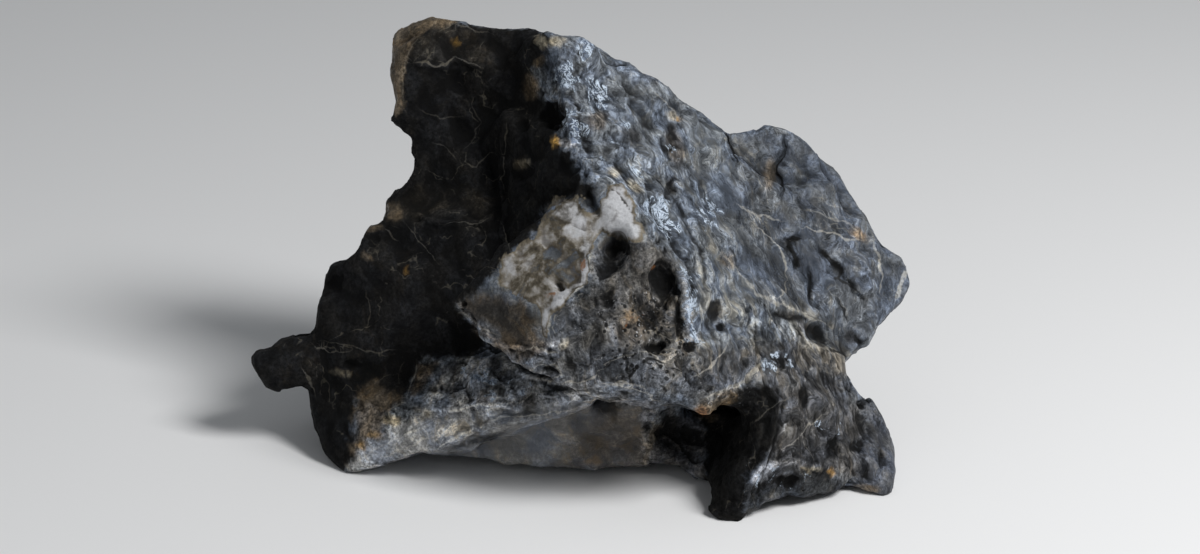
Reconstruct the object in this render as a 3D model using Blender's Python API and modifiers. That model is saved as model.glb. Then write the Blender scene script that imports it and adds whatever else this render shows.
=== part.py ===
"""A craggy grey landscaping stone, one solid, standing on small flat spots.

The front of the stone is described as a viewer sees it who looks down at it a little:
each corner is (right, up, near) in millimetres, near being the distance towards the viewer.
The back is described as (x, y, z), with +y away from the viewer and +z up from the ground.
"""

import math

import bmesh
import bpy
from mathutils import Matrix, Vector, noise

MM = 0.001

# Driving dimensions
VIEW_DISTANCE = 1111 * MM  # from the viewer to the picture plane
VIEW_HEIGHT = 64.3 * MM  # where the line of sight meets the picture plane
VIEW_PITCH = math.radians(20)  # how far the viewer looks down
COARSE_GRAIN = 2.6 * MM
FINE_GRAIN = 2.0 * MM
TRIANGLES = 8800
TRIM_DEPTH = 160 * MM  # how far the outline is carried, each way
GROUND = 0.2 * MM  # everything below this height is worn away, which leaves the flat spots
GROUND_BLOCK = (400 * MM, 400 * MM, 60 * MM)

# The stone's grain runs down its front slope, and its surface is drawn out along it
GRAIN = Vector((0.3, -0.72, -0.63)).normalized()
GRAIN_STRETCH = 2.2
BACK_FRONT, BACK_DEEP = 12 * MM, 45 * MM  # the back's coarser facets grow from one to the other

STONE_COLOUR = (0.085, 0.092, 0.104, 1.0)
STONE_ROUGHNESS = 0.55

# Lumps of the front, as seen: (right, up, near)
FRONT_LUMPS = {
    "summit": [
        (-20, 149, 0), (-16, 146, 10), (-5, 147.5, 4), (-24, 131, 3), (-13, 124, 22), (-12, 107, 33),
        (-2, 95, 42), (13, 80, 50), (27, 60, 54), (28, 36, 52), (47, 30, 44), (61, 45, 30),
        (44, 114, -16), (28, 127, -12), (15, 136, -6), (53, 80, 8), (-27, 122, -2), (-31, 110, -2),
        (-33.5, 95, 1), (-31, 80, 10), (-30, 60, -20), (-30, 138, -18), (-5, 138, -24),
        (30, 105, -50), (60, 40, -30), (10, 40, -50),
    ],
    "upper_wall": [
        (-68, 147, -21), (-40, 150, -16), (-26, 149.5, -9), (-18, 150, -3), (-66, 118, -20),
        (-61, 99, -21), (-50, 90, -19), (-24, 90, -2), (-20, 110, 2), (-18, 130, 2),
        (-60, 140, -42), (-18, 138, -44), (-60, 98, -52), (-20, 95, -52),
    ],
    "wing_rim": [
        (-71, 147.5, -19), (-71.5, 132, -18), (-74, 116.5, -17), (-66, 151, -19), (-56, 153.5, -15),
        (-53.5, 152, -8), (-58, 147, -5), (-62.5, 142.5, -4), (-65, 133, -5), (-66, 122, -7),
        (-64, 113, -13), (-56, 140, -11), (-57, 126, -15), (-48, 151, -12), (-60, 116, -34),
        (-55, 145, -36), (-67, 114, -28), (-66, 140, -32),
    ],
    "panel": [
        (-61, 143, -7), (-50, 150, -10), (-40, 150, -13), (-61, 135, -9), (-50, 129, -15),
        (-38, 127, -14), (-40, 140, -30), (-60, 140, -30), (-60, 128, -30), (-40, 124, -30),
    ],
    "wall_back": [
        (-67, 119, -16), (-64, 100, -18), (-73, 88, -18), (-76, 80, -18), (-20, 130, -14),
        (-30, 100, -8), (-30, 70, -4), (-60, 110, -48), (-70, 70, -52), (-30, 60, -52),
        (-20, 120, -48),
    ],
    "ledge": [
        (-72, 87, -16), (-74, 83, -9), (-80, 84, -9), (-83, 77, -9), (-69, 92, -21), (-64, 96, -24),
        (-63, 84, -4), (-54, 82, 0), (-38, 83, 3), (-20, 84, 10), (-20, 92, -4), (-40, 93, -15),
        (-84, 73, -8), (-91, 72, -11), (-96, 67, -13), (-98, 60, -13), (-98, 50, -13),
        (-98, 44, -12), (-99, 28, -14), (-20, 60, 14), (-20, 42, 12), (-70, 60, 1), (-75, 40, 1),
        (-60, 85, -38), (-85, 60, -38), (-88, 30, -38), (-40, 85, -42), (-30, 30, -34),
        (-54, 60, 4), (-56, 40, 3),
    ],
    "nose": [
        (-52, 56, 35), (-50, 50, 39), (-43, 43, 43), (-34, 37, 46), (-26, 33, 48),
        (-14, 28, 54), (0, 27, 58), (14, 29, 58), (22, 20, 52), (33, 15, 50), (48, 27, 46),
        (-43, 61, 34), (-32, 69, 36), (-20, 81, 40), (-12, 93, 42), (0, 95, 44), (13, 80, 52),
        (27, 62, 56), (-18, 42, 56), (5, 45, 62), (15, 40, 62), (25, 40, 58),
        (-20, 60, 10), (0, 50, 0), (30, 40, 0),
    ],
    "shelf": [
        (-86, -3.5, 4.5), (-90.5, 0, 0), (-94.5, 8, -8), (-98, 18, -12), (-98.5, 27, -14),
        (-78, -1, 7), (-71, 1, 9), (-64, 3, 10), (-59, 5.5, 11), (-44, 13, 18), (-34, 17, 23),
        (-14, 21, 32), (2, 25, 40), (-79, 9, 10), (-60, 18, 19), (-40, 22, 26), (-14, 27, 37),
        (4, 29, 44), (-62, 36, 2),
        (-54, 38, 6), (-33, 41, 10), (-60, 7, -20), (-10, 14, -10), (-90, 15, -30),
    ],
    "base": [
        (-60, 4, -1), (-40, 2, 3), (-25, -1.5, 8), (0, -1.5, 8), (29, -0.5, 9), (-50, 14, 5),
        (-20, 20, 15), (10, 26, 26), (24, 24, 22), (-60, 25, -50), (50, 29, -55), (-50, 50, -50),
        (40, 60, -50),
    ],
    "inner_foot": [
        (26, 0, 9), (28, -3, 13), (34, -4, 16), (38, -5, 20), (30, 20, 4), (45, 20, 10),
        (60, 12, -20), (30, 24, -40), (60, 28, -40),
    ],
    "arm": [
        (-119, 36, -12), (-118, 40, -14), (-113, 42.5, -15), (-107, 45, -16), (-101, 46, -16),
        (-94, 46, -12), (-94, 26, -10), (-105, 24.5, -12), (-111, 24.5, -12), (-115.5, 28, -10),
        (-114, 36, -24), (-100, 40, -30), (-100, 30, -26), (-86, 42, -30), (-86, 28, -28),
        (-112, 34, -5), (-98, 36, -3),
    ],
    "slab": [
        (38, 110, -12), (43, 118, -13), (51, 118, -16), (55.5, 119, -18), (63, 117, -20),
        (68, 113, -22), (75, 107, -24), (82, 100.5, -24), (88, 91, -24), (92, 83, -24),
        (96, 76, -23), (103, 73, -22), (109, 61, -22), (107, 54, -18), (98, 48, -13),
        (89, 39, -4), (81, 34, 2), (64, 50, 14), (50, 68, 12), (43, 85, 6), (46, 100, -5),
        (60, 100, -50), (85, 80, -50), (95, 62, -44), (80, 45, -38), (45, 95, -50),
    ],
    "shoulder": [
        (27, 60, 54), (53, 70, 22), (66, 55, 16), (78, 40, 12), (81, 37, 9), (83, 31, 7),
        (88, 22, 6), (57, 33, 40), (62, 25, 40), (38, 20, 48), (75, 22, 24), (60, 20, 0),
        (40, 40, 0), (75, 30, -20),
    ],
    "foot": [
        (46, -18.5, 41), (38, -18, 39), (35.5, -14, 36), (37, -8, 31), (34, -4, 23),
        (52, -12.5, 37), (60, -10.5, 33), (69, -11, 29), (78, -9, 24), (45, -5, 46), (55, 3, 47),
        (58, 14, 46), (57, 30, 42), (75, 28, 28), (84, 22, 10), (88, 5, 20), (81, -4, 20),
        (60, 14, -10), (40, 12, -5),
    ],
    "spike": [
        (90.5, 29, -1), (86, 26, 3), (90, 28, -9), (95, 22, -2), (95, 20, -12), (88, 12, 9),
        (98, 12, 0), (84, 14, -14),
    ],
    "heel": [
        (93, 19, -4), (85, 18, 2), (96.5, 16, -5), (101, 8, -1), (104, 0, 7), (103.5, -7, 18),
        (102, -12, 22), (93, -10.5, 23), (85, -7, 18), (80, -5.5, 14), (84, 10, 18), (70, 15, -10),
        (80, 14, -25),
    ],
}

# Lumps of the back, as they stand: (x, y, z)
BACK_LUMPS = {
    "core": [
        (-50, 18, 16), (48, 8, 16), (-48, 45, 20), (48, 50, 20), (-50, 42, 70), (-46, 60, 110),
        (-20, 24, 60), (-14, 36, 118), (30, 34, 90), (-42, 64, 112), (18, 62, 96), (-52, 62, 60),
        (52, 62, 55),
    ],
    "back_low": [
        (-50, 54, 5), (40, 58, 5), (-66, 60, 36), (-40, 76, 34), (12, 84, 46), (60, 66, 40),
        (-48, 20, 8), (60, 12, 9), (-60, 20, 60), (60, 20, 70), (80, 36, 22), (84, 44, 42),
    ],
    "left_toe": [
        (-52, 48, -2), (-40, 60, -2), (-36, 46, -2), (-58, 44, 14), (-40, 70, 16), (-28, 50, 14),
        (-46, 34, 12),
    ],
    "right_toe": [
        (26, 62, -2), (40, 54, -2), (30, 48, -2), (20, 64, 14), (34, 74, 18), (50, 52, 14),
        (30, 40, 12),
    ],
    "back_step": [
        (-60, 50, 24), (-36, 74, 14), (-8, 80, 10), (-30, 60, 6), (4, 66, 6), (20, 80, 24),
        (-58, 62, 40), (-30, 84, 46), (8, 88, 40), (-20, 30, 20),
    ],
    "back_middle": [
        (-66, 50, 36), (-58, 64, 60), (-20, 80, 66), (26, 84, 62), (62, 74, 60), (70, 50, 40),
        (-60, 54, 84), (-14, 76, 92), (34, 76, 88), (-40, 20, 60), (40, 20, 50),
    ],
    "back_high": [
        (-54, 62, 92), (-14, 70, 106), (-46, 60, 132), (-15, 56, 130), (24, 62, 104),
        (56, 58, 86), (-60, 56, 62), (10, 76, 62), (60, 62, 50), (-30, 42, 80), (40, 20, 60),
    ],
    "back_rib": [
        (-10, 70, 118), (6, 66, 112), (2, 84, 84), (18, 88, 70), (34, 90, 44), (10, 88, 60),
        (40, 76, 40), (20, 60, 60), (0, 60, 90), (26, 84, 26),
    ],
}

# The outline that the viewer sees, (right, up)
OUTLINE = [
    (-68.5, 145.5), (-67.5, 146.5), (-65, 147.5), (-61.5, 149), (-56, 150.5), (-48.5, 149.5),
    (-40, 147.5), (-36, 146.5), (-26.5, 146.5), (-21.5, 147.5), (-18.5, 146.5), (-13, 144),
    (-5, 144), (0, 141.5), (6.5, 137.5), (11.5, 134.5), (13.5, 131.5), (18.5, 130.5),
    (23.5, 126.5), (25.5, 123.5), (31.5, 120), (38.5, 114.5), (42.5, 111), (44.5, 113),
    (50.5, 113), (55.5, 115), (61.5, 113.5), (66.5, 110.5), (70, 107.5), (71.5, 105),
    (79.5, 98.5), (81.5, 95.5), (85, 89), (87.5, 86.5), (90, 80), (93.5, 74.5), (100, 70.5),
    (101.5, 68), (103, 61.5), (101.5, 57.5), (96.5, 52.5), (92.5, 47.5), (88.5, 41), (85, 39.5),
    (81, 36.5), (82, 30.5), (87, 21.5), (88.5, 23.5), (90, 24.5), (92.5, 20), (95.5, 14),
    (98, 6), (98.5, -1.5), (97.5, -8.5), (95, -9), (87.5, -6.5), (81.5, -4.5), (79.5, -6.5),
    (71.5, -8.5), (66.5, -9.5), (61.5, -8.5), (52.5, -11.5), (48.5, -15.5), (45.5, -17.5),
    (38.5, -16.5), (36.5, -14.5), (38, -8.5), (36, -3.5), (33.5, -2.5), (30.5, -2.5), (26.5, 1.5),
    (16.5, 2), (-1, 0.5), (-26.5, 1.5), (-34, 2.5), (-40, 4), (-56, 5.5), (-60, 6.5),
    (-63.5, 4.5), (-71.5, 1.5), (-85, -1.5), (-87.5, 0), (-91.5, 6), (-94.5, 13.5), (-96.5, 20),
    (-96.5, 26.5), (-98, 28.5), (-100, 29), (-105.5, 26.5), (-110, 26.5), (-112.5, 28.5),
    (-116.5, 35.5), (-116, 38.5), (-112.5, 40.5), (-109.5, 40), (-106.5, 43), (-101, 44.5),
    (-96, 44.5), (-94.5, 47.5), (-93, 57.5), (-93.5, 59), (-91.5, 61), (-91, 65), (-89, 68.5),
    (-83.5, 70), (-80.5, 72.5), (-79.5, 74.5), (-79.5, 77.5), (-76.5, 81.5), (-73.5, 82),
    (-70.5, 85), (-71, 89), (-69.5, 91), (-67, 93.5), (-65.5, 94), (-62, 98.5), (-60.5, 104.5),
    (-62.5, 105.5), (-63.5, 106.5), (-62, 109), (-63.5, 112.5), (-66.5, 114.5), (-69.5, 117),
    (-68, 120), (-67.5, 123.5), (-69, 130.5), (-69, 141.5),
]

# Hollows of the front, as seen: middle (right, up, near), (half-width, half-height, half-depth)
FRONT_HOLLOWS = {
    "under_nose": ((-50, 46, 32), (12, 8, 16)),
    "nose_scoop": ((12, 60, 68), (13, 20, 11)),
    "cave": ((28, 10, 32), (13, 13, 26)),
    "cave_mouth": ((24, 8, 48), (13, 14, 18)),
    "high_pit": ((5, 75, 52), (5, 7, 9)),
    "high_pit_foot": ((2, 69, 55), (4, 6, 6)),
    "deep_pit": ((21, 64, 56), (5, 9, 12)),
    "deep_pit_foot": ((17, 55, 58), (5, 8, 7)),
    "low_pit": ((19, 42, 61), (6, 4, 6)),
    "side_pit": ((38, 51, 51), (4, 7, 6)),
    "groove_pit": ((74, 46, 14), (8, 5, 9)),
    "groove_pit_end": ((83, 44, 4), (5, 4, 7)),
}

# Hollows of the back, as they stand: middle (x, y, z), (half-width, half-depth, half-height)
BACK_HOLLOWS = {
    "back_scoop": ((46, 94, 74), (16, 20, 24)),
    "back_cleft": ((6, 98, 12), (12, 20, 14)),
    "back_bay": ((-44, 88, 62), (14, 16, 30)),
}


def seen(right, up, near):
    """The standing place, in metres, of a point given as the viewer sees it."""
    right, up, near = right * MM, up * MM, near * MM
    shrink = 1 - near / VIEW_DISTANCE
    up = VIEW_HEIGHT + (up - VIEW_HEIGHT) * shrink
    sin, cos = math.sin(VIEW_PITCH), math.cos(VIEW_PITCH)
    return Vector((right * shrink, up * sin - near * cos, up * cos + near * sin))


def clear_scene():
    for obj in list(bpy.data.objects):
        bpy.data.objects.remove(obj)


def new_collection(name):
    collection = bpy.data.collections.new(name)
    bpy.context.scene.collection.children.link(collection)
    return collection


def new_object(name, work, collection):
    mesh = bpy.data.meshes.new(name)
    work.to_mesh(mesh)
    work.free()
    obj = bpy.data.objects.new(name, mesh)
    collection.objects.link(obj)
    return obj


def add_lump(work, points):
    """Adds the convex lump with these corners to work."""
    corners = [work.verts.new(point) for point in points]
    made = bmesh.ops.convex_hull(work, input=corners)
    inside = [item for item in made["geom_interior"] if isinstance(item, bmesh.types.BMVert)]
    bmesh.ops.delete(work, geom=inside, context="VERTS")


def settle(obj):
    """Applies the object's modifiers to its mesh."""
    graph = bpy.context.evaluated_depsgraph_get()
    mesh = bpy.data.meshes.new_from_object(obj.evaluated_get(graph))
    obj.modifiers.clear()
    old, obj.data = obj.data, mesh
    bpy.data.meshes.remove(old)


def fuse(obj, grain):
    """Makes one closed skin round everything in obj."""
    remesh = obj.modifiers.new("Fuse", "REMESH")
    remesh.mode = "VOXEL"
    remesh.voxel_size = grain
    settle(obj)


def combine(obj, other, operation):
    boolean = obj.modifiers.new("Cut", "BOOLEAN")
    boolean.operation = operation
    boolean.object = other
    boolean.solver = "EXACT"
    settle(obj)


def chip(place, size):
    """Height of a facet of broken stone: each cell of a cellular pattern tilts its own way."""
    scaled = place / size
    centre = noise.voronoi(scaled)[1][0]
    return size * (scaled - centre).dot(noise.cell_vector(centre * 3.7))


def roughen(obj, height):
    """Moves each point of obj along its normal by height(place)."""
    normals = [vertex.normal.copy() for vertex in obj.data.vertices]
    for vertex, normal in zip(obj.data.vertices, normals):
        vertex.co += normal * height(vertex.co.copy())
    obj.data.update()


def along_grain(place):
    """The place squeezed along the grain, so that a pattern read there is drawn out along it."""
    return place - GRAIN * (place.dot(GRAIN) * (1 - 1 / GRAIN_STRETCH))


def coarse_height(place):
    swell = 1.6 * MM * noise.noise(place / (32 * MM))
    facet = 0.16 * chip(along_grain(place), 13 * MM)
    share = min(max((place.y - BACK_FRONT) / (BACK_DEEP - BACK_FRONT), 0), 1)
    return swell + facet + share * 0.3 * chip(place, 27 * MM)


def fine_height(place):
    drawn = along_grain(place)
    ripple = 0.5 * MM * noise.noise(drawn / (6 * MM))
    ridge = 0.8 * MM * (0.5 - abs(noise.noise(drawn / (10 * MM) + Vector((7, 3, 5)))))
    return ripple + ridge + 0.1 * chip(drawn, 6 * MM)


def hollow_height(place):
    return 2.2 * MM * noise.noise(place / (6 * MM))


def make_trimmer(collection):
    """The outline carried along the viewer's lines of sight, nearer and farther than the stone."""
    eye = seen(0, VIEW_HEIGHT / MM, VIEW_DISTANCE / MM)
    farther = (VIEW_DISTANCE + TRIM_DEPTH) / (VIEW_DISTANCE - TRIM_DEPTH)
    work = bmesh.new()
    near_end = [work.verts.new(seen(right, up, TRIM_DEPTH / MM)) for right, up in OUTLINE]
    made = bmesh.ops.extrude_face_region(work, geom=[work.faces.new(near_end)], use_keep_orig=True)
    far_end = [item for item in made["geom"] if isinstance(item, bmesh.types.BMVert)]
    bmesh.ops.scale(work, vec=(farther,) * 3, space=Matrix.Translation(-eye), verts=far_end)
    bmesh.ops.recalc_face_normals(work, faces=work.faces[:])
    return new_object("outline_trimmer", work, collection)


def make_hollows(collection):
    """Rough egg-shaped cutters, those of the front turned to face the viewer."""
    work = bmesh.new()
    facing = Matrix.Rotation(-VIEW_PITCH, 3, "X")
    eggs = [
        (seen(*middle), facing @ Matrix.Diagonal((width, depth, height)))
        for middle, (width, height, depth) in FRONT_HOLLOWS.values()
    ]
    eggs += [
        (Vector(middle) * MM, Matrix.Diagonal(half)) for middle, half in BACK_HOLLOWS.values()
    ]
    for middle, stretch in eggs:
        made = bmesh.ops.create_icosphere(work, subdivisions=4, radius=MM)
        for vertex in made["verts"]:
            vertex.co = stretch @ vertex.co + middle
    hollows = new_object("hollows", work, collection)
    fuse(hollows, FINE_GRAIN)
    roughen(hollows, hollow_height)
    return hollows


def make_ground(collection):
    work = bmesh.new()
    bmesh.ops.create_cube(work, size=1.0)
    bmesh.ops.scale(work, vec=GROUND_BLOCK, verts=work.verts)
    bmesh.ops.translate(work, vec=(0, 0, GROUND - GROUND_BLOCK[2] / 2), verts=work.verts)
    return new_object("ground", work, collection)


def make_material():
    material = bpy.data.materials.new("stone")
    material.use_nodes = True
    shader = material.node_tree.nodes["Principled BSDF"]
    shader.inputs["Base Color"].default_value = STONE_COLOUR
    shader.inputs["Roughness"].default_value = STONE_ROUGHNESS
    shader.inputs["Metallic"].default_value = 0.0
    return material


def make_lumps(collection):
    work = bmesh.new()
    for points in FRONT_LUMPS.values():
        add_lump(work, [seen(*point) for point in points])
    for points in BACK_LUMPS.values():
        add_lump(work, [Vector(point) * MM for point in points])
    bmesh.ops.recalc_face_normals(work, faces=work.faces[:])
    return new_object("stone", work, collection)


def thin_out(obj, triangles):
    """Brings obj down to about this many triangles, keeping its facets."""
    obj.data.calc_loop_triangles()
    decimate = obj.modifiers.new("Facets", "DECIMATE")
    decimate.ratio = triangles / len(obj.data.loop_triangles)
    settle(obj)


def centre_on_base(obj):
    """Moves the mesh so that the origin is the middle of its box's underside."""
    corners = [vertex.co for vertex in obj.data.vertices]
    low = Vector(min(corner[axis] for corner in corners) for axis in range(3))
    high = Vector(max(corner[axis] for corner in corners) for axis in range(3))
    shift = Vector(((low.x + high.x) / 2, (low.y + high.y) / 2, low.z))
    obj.data.transform(Matrix.Translation(-shift))
    return shift


def build():
    clear_scene()
    cutters = new_collection("cutters")
    stone = make_lumps(new_collection("dragon stone"))
    fuse(stone, COARSE_GRAIN)
    roughen(stone, coarse_height)
    fuse(stone, FINE_GRAIN)
    trimmer = make_trimmer(cutters)
    combine(stone, trimmer, "INTERSECT")
    hollows = make_hollows(cutters)
    combine(stone, hollows, "DIFFERENCE")
    fuse(stone, FINE_GRAIN)
    roughen(stone, fine_height)
    thin_out(stone, TRIANGLES)
    ground = make_ground(cutters)
    combine(stone, ground, "DIFFERENCE")
    for cutter in (hollows, trimmer, ground):
        cutter.hide_render = True
        cutter.display_type = "WIRE"
    shift = centre_on_base(stone)
    stone.data.materials.append(make_material())
    return stone, shift


if __name__ == "__main__":
    build()
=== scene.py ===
"""Looks of a craggy blue-grey dragon stone.

It has a hollow dark side on the left, a nose with white quartz over a shelf and a recess, a split
slab and a foot on the right. Lengths are in metres. Places on the stone's front are given as the
viewer sees them, across and down in points of a picture 1200 points wide and 554 high, and a mark
placed so lies on whatever surface is seen there.
"""

import logging
import math
from dataclasses import dataclass, field
from enum import Enum
from functools import reduce

import bmesh
import bpy
import numpy as np
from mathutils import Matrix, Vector, noise
from mathutils.bvhtree import BVHTree


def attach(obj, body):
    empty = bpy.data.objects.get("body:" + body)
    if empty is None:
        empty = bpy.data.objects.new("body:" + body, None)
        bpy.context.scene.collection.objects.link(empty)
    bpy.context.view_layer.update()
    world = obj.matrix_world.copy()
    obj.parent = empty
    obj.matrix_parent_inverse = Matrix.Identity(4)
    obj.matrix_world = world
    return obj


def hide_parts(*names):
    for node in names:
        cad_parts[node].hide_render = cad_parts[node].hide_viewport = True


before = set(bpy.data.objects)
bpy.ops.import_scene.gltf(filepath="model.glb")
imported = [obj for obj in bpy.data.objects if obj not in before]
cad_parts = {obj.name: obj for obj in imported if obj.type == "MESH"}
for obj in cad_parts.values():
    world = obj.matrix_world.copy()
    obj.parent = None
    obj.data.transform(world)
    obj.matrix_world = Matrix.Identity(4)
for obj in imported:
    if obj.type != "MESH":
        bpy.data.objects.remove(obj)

MM = 0.001
LOG = logging.getLogger("stone")

# The ground colour attribute holds the rock's colours with painted shade and painted light among them.
ROCK_AND_SHADE = "ground"
CREVICE = "crevice"
CALM = "calm"

Point = tuple[float, float]
Path = tuple[Point, ...]
Triple = tuple[float, float, float]
Socket = bpy.types.NodeSocket
Value = float | Socket


class Mixture(Enum):
    """Named colours, as linear red, green and blue."""

    @property
    def full(self) -> tuple[float, float, float, float]:
        """Returns the colour with its alpha."""
        return (*self.value, 1.0)


class Tint(Mixture):
    """Colours of the rock and of what lies on it, and those that stand in for painted shade and light."""

    SLATE = (0.089, 0.102, 0.121)
    SLAB = (0.062, 0.071, 0.086)
    # A lighter slate, mostly used as painted light on the lit faces of the shelf, the strip and the
    # nose's ridge.
    BRIGHT_SLATE = (0.225, 0.235, 0.250)
    SMOOTH_GREY = (0.162, 0.168, 0.178)
    STEEL = (0.090, 0.096, 0.106)
    DUSK = (0.044, 0.048, 0.057)
    ASH = (0.070, 0.069, 0.067)
    # These three darks stand in for painted shade on shaded faces and in hollows and cracks; the middle
    # one is also the black rock's own colour.
    SHADE = (0.042, 0.042, 0.044)
    BLACK_AND_SHADE = (0.0058, 0.0058, 0.0060)
    SHADE_BLACK = (0.004, 0.004, 0.004)
    UMBER = (0.016, 0.0145, 0.0125)
    BISTRE = (0.056, 0.047, 0.038)
    TAN = (0.100, 0.078, 0.053)
    CREAM = (0.330, 0.285, 0.200)
    OCHRE = (0.300, 0.175, 0.045)
    RUST = (0.200, 0.085, 0.030)
    # The colour of the painted glints, bluish-white highlights on damp facets.
    PAINTED_GLINT = (0.520, 0.600, 0.700)
    QUARTZ = (0.430, 0.435, 0.450)
    OLIVE = (0.185, 0.158, 0.115)
    DARK_OLIVE = (0.040, 0.034, 0.025)
    # Painted shade of the quartz in its crevices.
    HOLLOW_OLIVE = (0.07, 0.058, 0.045)
    VEIN_WHITE = (0.40, 0.39, 0.37)
    VEIN_CREAM = (0.36, 0.32, 0.24)


class Wash(Mixture):
    """Factors by which the colour below is turned."""

    COOL = (0.95, 0.99, 1.07)
    WARM = (1.06, 1.01, 0.93)
    LIFTED = (2.45, 2.42, 2.35)
    STAINED = (1.5, 1.32, 1.06)
    # Darkens the ground where the painted glints lie.
    PAINTED_GLINT_SHADE = (0.36, 0.42, 0.52)
    VEIN_LIFT = (2.6, 2.5, 2.3)


class Coat(Enum):
    """Marks whose edges the material draws finer than the mesh, each an attribute of the mesh."""

    QUARTZ = "quartz"
    VEIN = "vein"
    VEIN_GAP = "vein gap"
    VEIN_WIDTH = "vein width"
    # The crack lines are painted shade, in cracks and slots and under lips and edges.
    CRACK_SHADE = "crack"
    CRACK_SHADE_GAP = "crack gap"
    CRACK_SHADE_WIDTH = "crack width"
    RUST = "rust"
    # Painted glints.
    PAINTED_GLINT = "painted glint"
    TAN = "tan"
    FIBRE = "fibre"
    PORES = "pores"


LINE_COATS = {
    Coat.VEIN: (Coat.VEIN_GAP, Coat.VEIN_WIDTH),
    Coat.CRACK_SHADE: (Coat.CRACK_SHADE_GAP, Coat.CRACK_SHADE_WIDTH),
}


def smooth_step(low: float, high: float, value: np.ndarray) -> np.ndarray:
    """Carries a value smoothly from nought to one.

    Args:
        low: where it starts to rise.
        high: where it has reached one.
        value: a number for each point.

    Returns:
        nought below low and one above high, with an even rise between.
    """
    share = np.clip((value - low) / (high - low), 0, 1)
    return share * share * (3 - 2 * share)


def tapered(along: np.ndarray, reach: float, least: float) -> np.ndarray:
    """Thins a line towards its ends.

    Args:
        along: how far along the line each point is, from 0 to 1.
        reach: the share of the line that each end takes up.
        least: the value at the ends.

    Returns:
        one along the line and the least value at its ends.
    """
    middle = smooth_step(0.0, reach, along) * smooth_step(0.0, reach, 1 - along)
    return least + (1 - least) * middle


def path_distance(places: np.ndarray, path: Path) -> tuple[np.ndarray, ...]:
    """Measures how far each place is from a path.

    Args:
        places: picture places.
        path: the path's corners.

    Returns:
        the distances, how far along the path the nearest point lies, from 0 to 1, and the side of
        the path that the place is on, -1 or 1.
    """
    corners = np.array(path, float)
    spans = np.linalg.norm(np.diff(corners, axis=0), axis=1)
    reached = np.concatenate(([0.0], np.cumsum(spans)))
    best = np.full(len(places), np.inf)
    along = np.zeros(len(places))
    side = np.ones(len(places))
    for start, end, before, span in zip(corners[:-1], corners[1:], reached[:-1], spans):
        run = end - start
        share = np.clip((places - start) @ run / (run @ run), 0, 1)
        gap = np.linalg.norm(places - start - share[:, None] * run, axis=1)
        nearer = gap < best
        best[nearer] = gap[nearer]
        along[nearer] = (before + share[nearer] * span) / reached[-1]
        cross = run[0] * (places[:, 1] - start[1]) - run[1] * (places[:, 0] - start[0])
        side[nearer] = np.where(cross[nearer] < 0, -1.0, 1.0)
    return best, along, side


def inside_depth(places: np.ndarray, outline: Path) -> np.ndarray:
    """Measures how deep inside a closed outline each place is.

    Args:
        places: picture places.
        outline: the outline's corners in order.

    Returns:
        the distance to the outline, negative outside it.
    """
    corners = np.array(outline, float)
    gap = path_distance(places, (*outline, outline[0]))[0]
    odd = np.zeros(len(places), bool)
    for (ax, ay), (bx, by) in zip(corners, np.roll(corners, -1, axis=0)):
        crosses = (ay > places[:, 1]) != (by > places[:, 1])
        slope = (bx - ax) / (by - ay) if by != ay else 0.0
        odd ^= crosses & (places[:, 0] < ax + (places[:, 1] - ay) * slope)
    return np.where(odd, gap, -gap)


def oval_reach(places: np.ndarray, middle: Point, half: Point, turn: float) -> np.ndarray:
    """Measures how far out each place is in a turned oval.

    Args:
        places: picture places.
        middle: the oval's middle.
        half: half its width and half its height.
        turn: degrees that it is turned anticlockwise.

    Returns:
        0 at the oval's middle and 1 at its edge.
    """
    angle = math.radians(turn)
    apart = places - np.array(middle)
    across = apart[:, 0] * math.cos(angle) - apart[:, 1] * math.sin(angle)
    down = apart[:, 0] * math.sin(angle) + apart[:, 1] * math.cos(angle)
    return np.hypot(across / half[0], down / half[1])


@dataclass(frozen=True)
class Zone:
    """A region of the front with its own ground colour, inside a closed outline."""

    name: str
    tint: Tint
    outline: Path
    soft: float = 5.0
    ragged: float = 6.0
    share: float = 1.0

    def cover(self, places: np.ndarray, fray: np.ndarray) -> np.ndarray:
        """Returns the share of each place that the zone colours."""
        depth = inside_depth(places, self.outline) + fray * self.ragged
        return smooth_step(-self.soft, self.soft, depth) * self.share


@dataclass(frozen=True)
class Spot:
    """An oval patch of ground colour, turned anticlockwise by turn degrees."""

    name: str
    tint: Tint
    middle: Point
    half: Point
    turn: float = 0.0
    share: float = 1.0
    ragged: float = 3.0
    edge: Point = (0.65, 1.25)

    def cover(self, places: np.ndarray, fray: np.ndarray) -> np.ndarray:
        """Works out what the spot covers.

        Args:
            places: picture places.
            fray: a rough pattern from -1 to 1 that frays the edge.

        Returns:
            the share of each place that the spot colours.
        """
        reach = oval_reach(places, self.middle, self.half, self.turn)
        reach = reach + fray * self.ragged / max(self.half)
        return (1 - smooth_step(*self.edge, reach)) * self.share


@dataclass(frozen=True)
class Patch:
    """An area of one coat inside a closed outline."""

    name: str
    outline: Path
    soft: float = 8.0
    ragged: float = 4.0
    share: float = 1.0

    def cover(self, places: np.ndarray, fray: np.ndarray) -> np.ndarray:
        """Returns how much of the coat each place has."""
        depth = inside_depth(places, self.outline) + fray * self.ragged
        return smooth_step(-self.soft, self.soft, depth) * self.share


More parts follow.
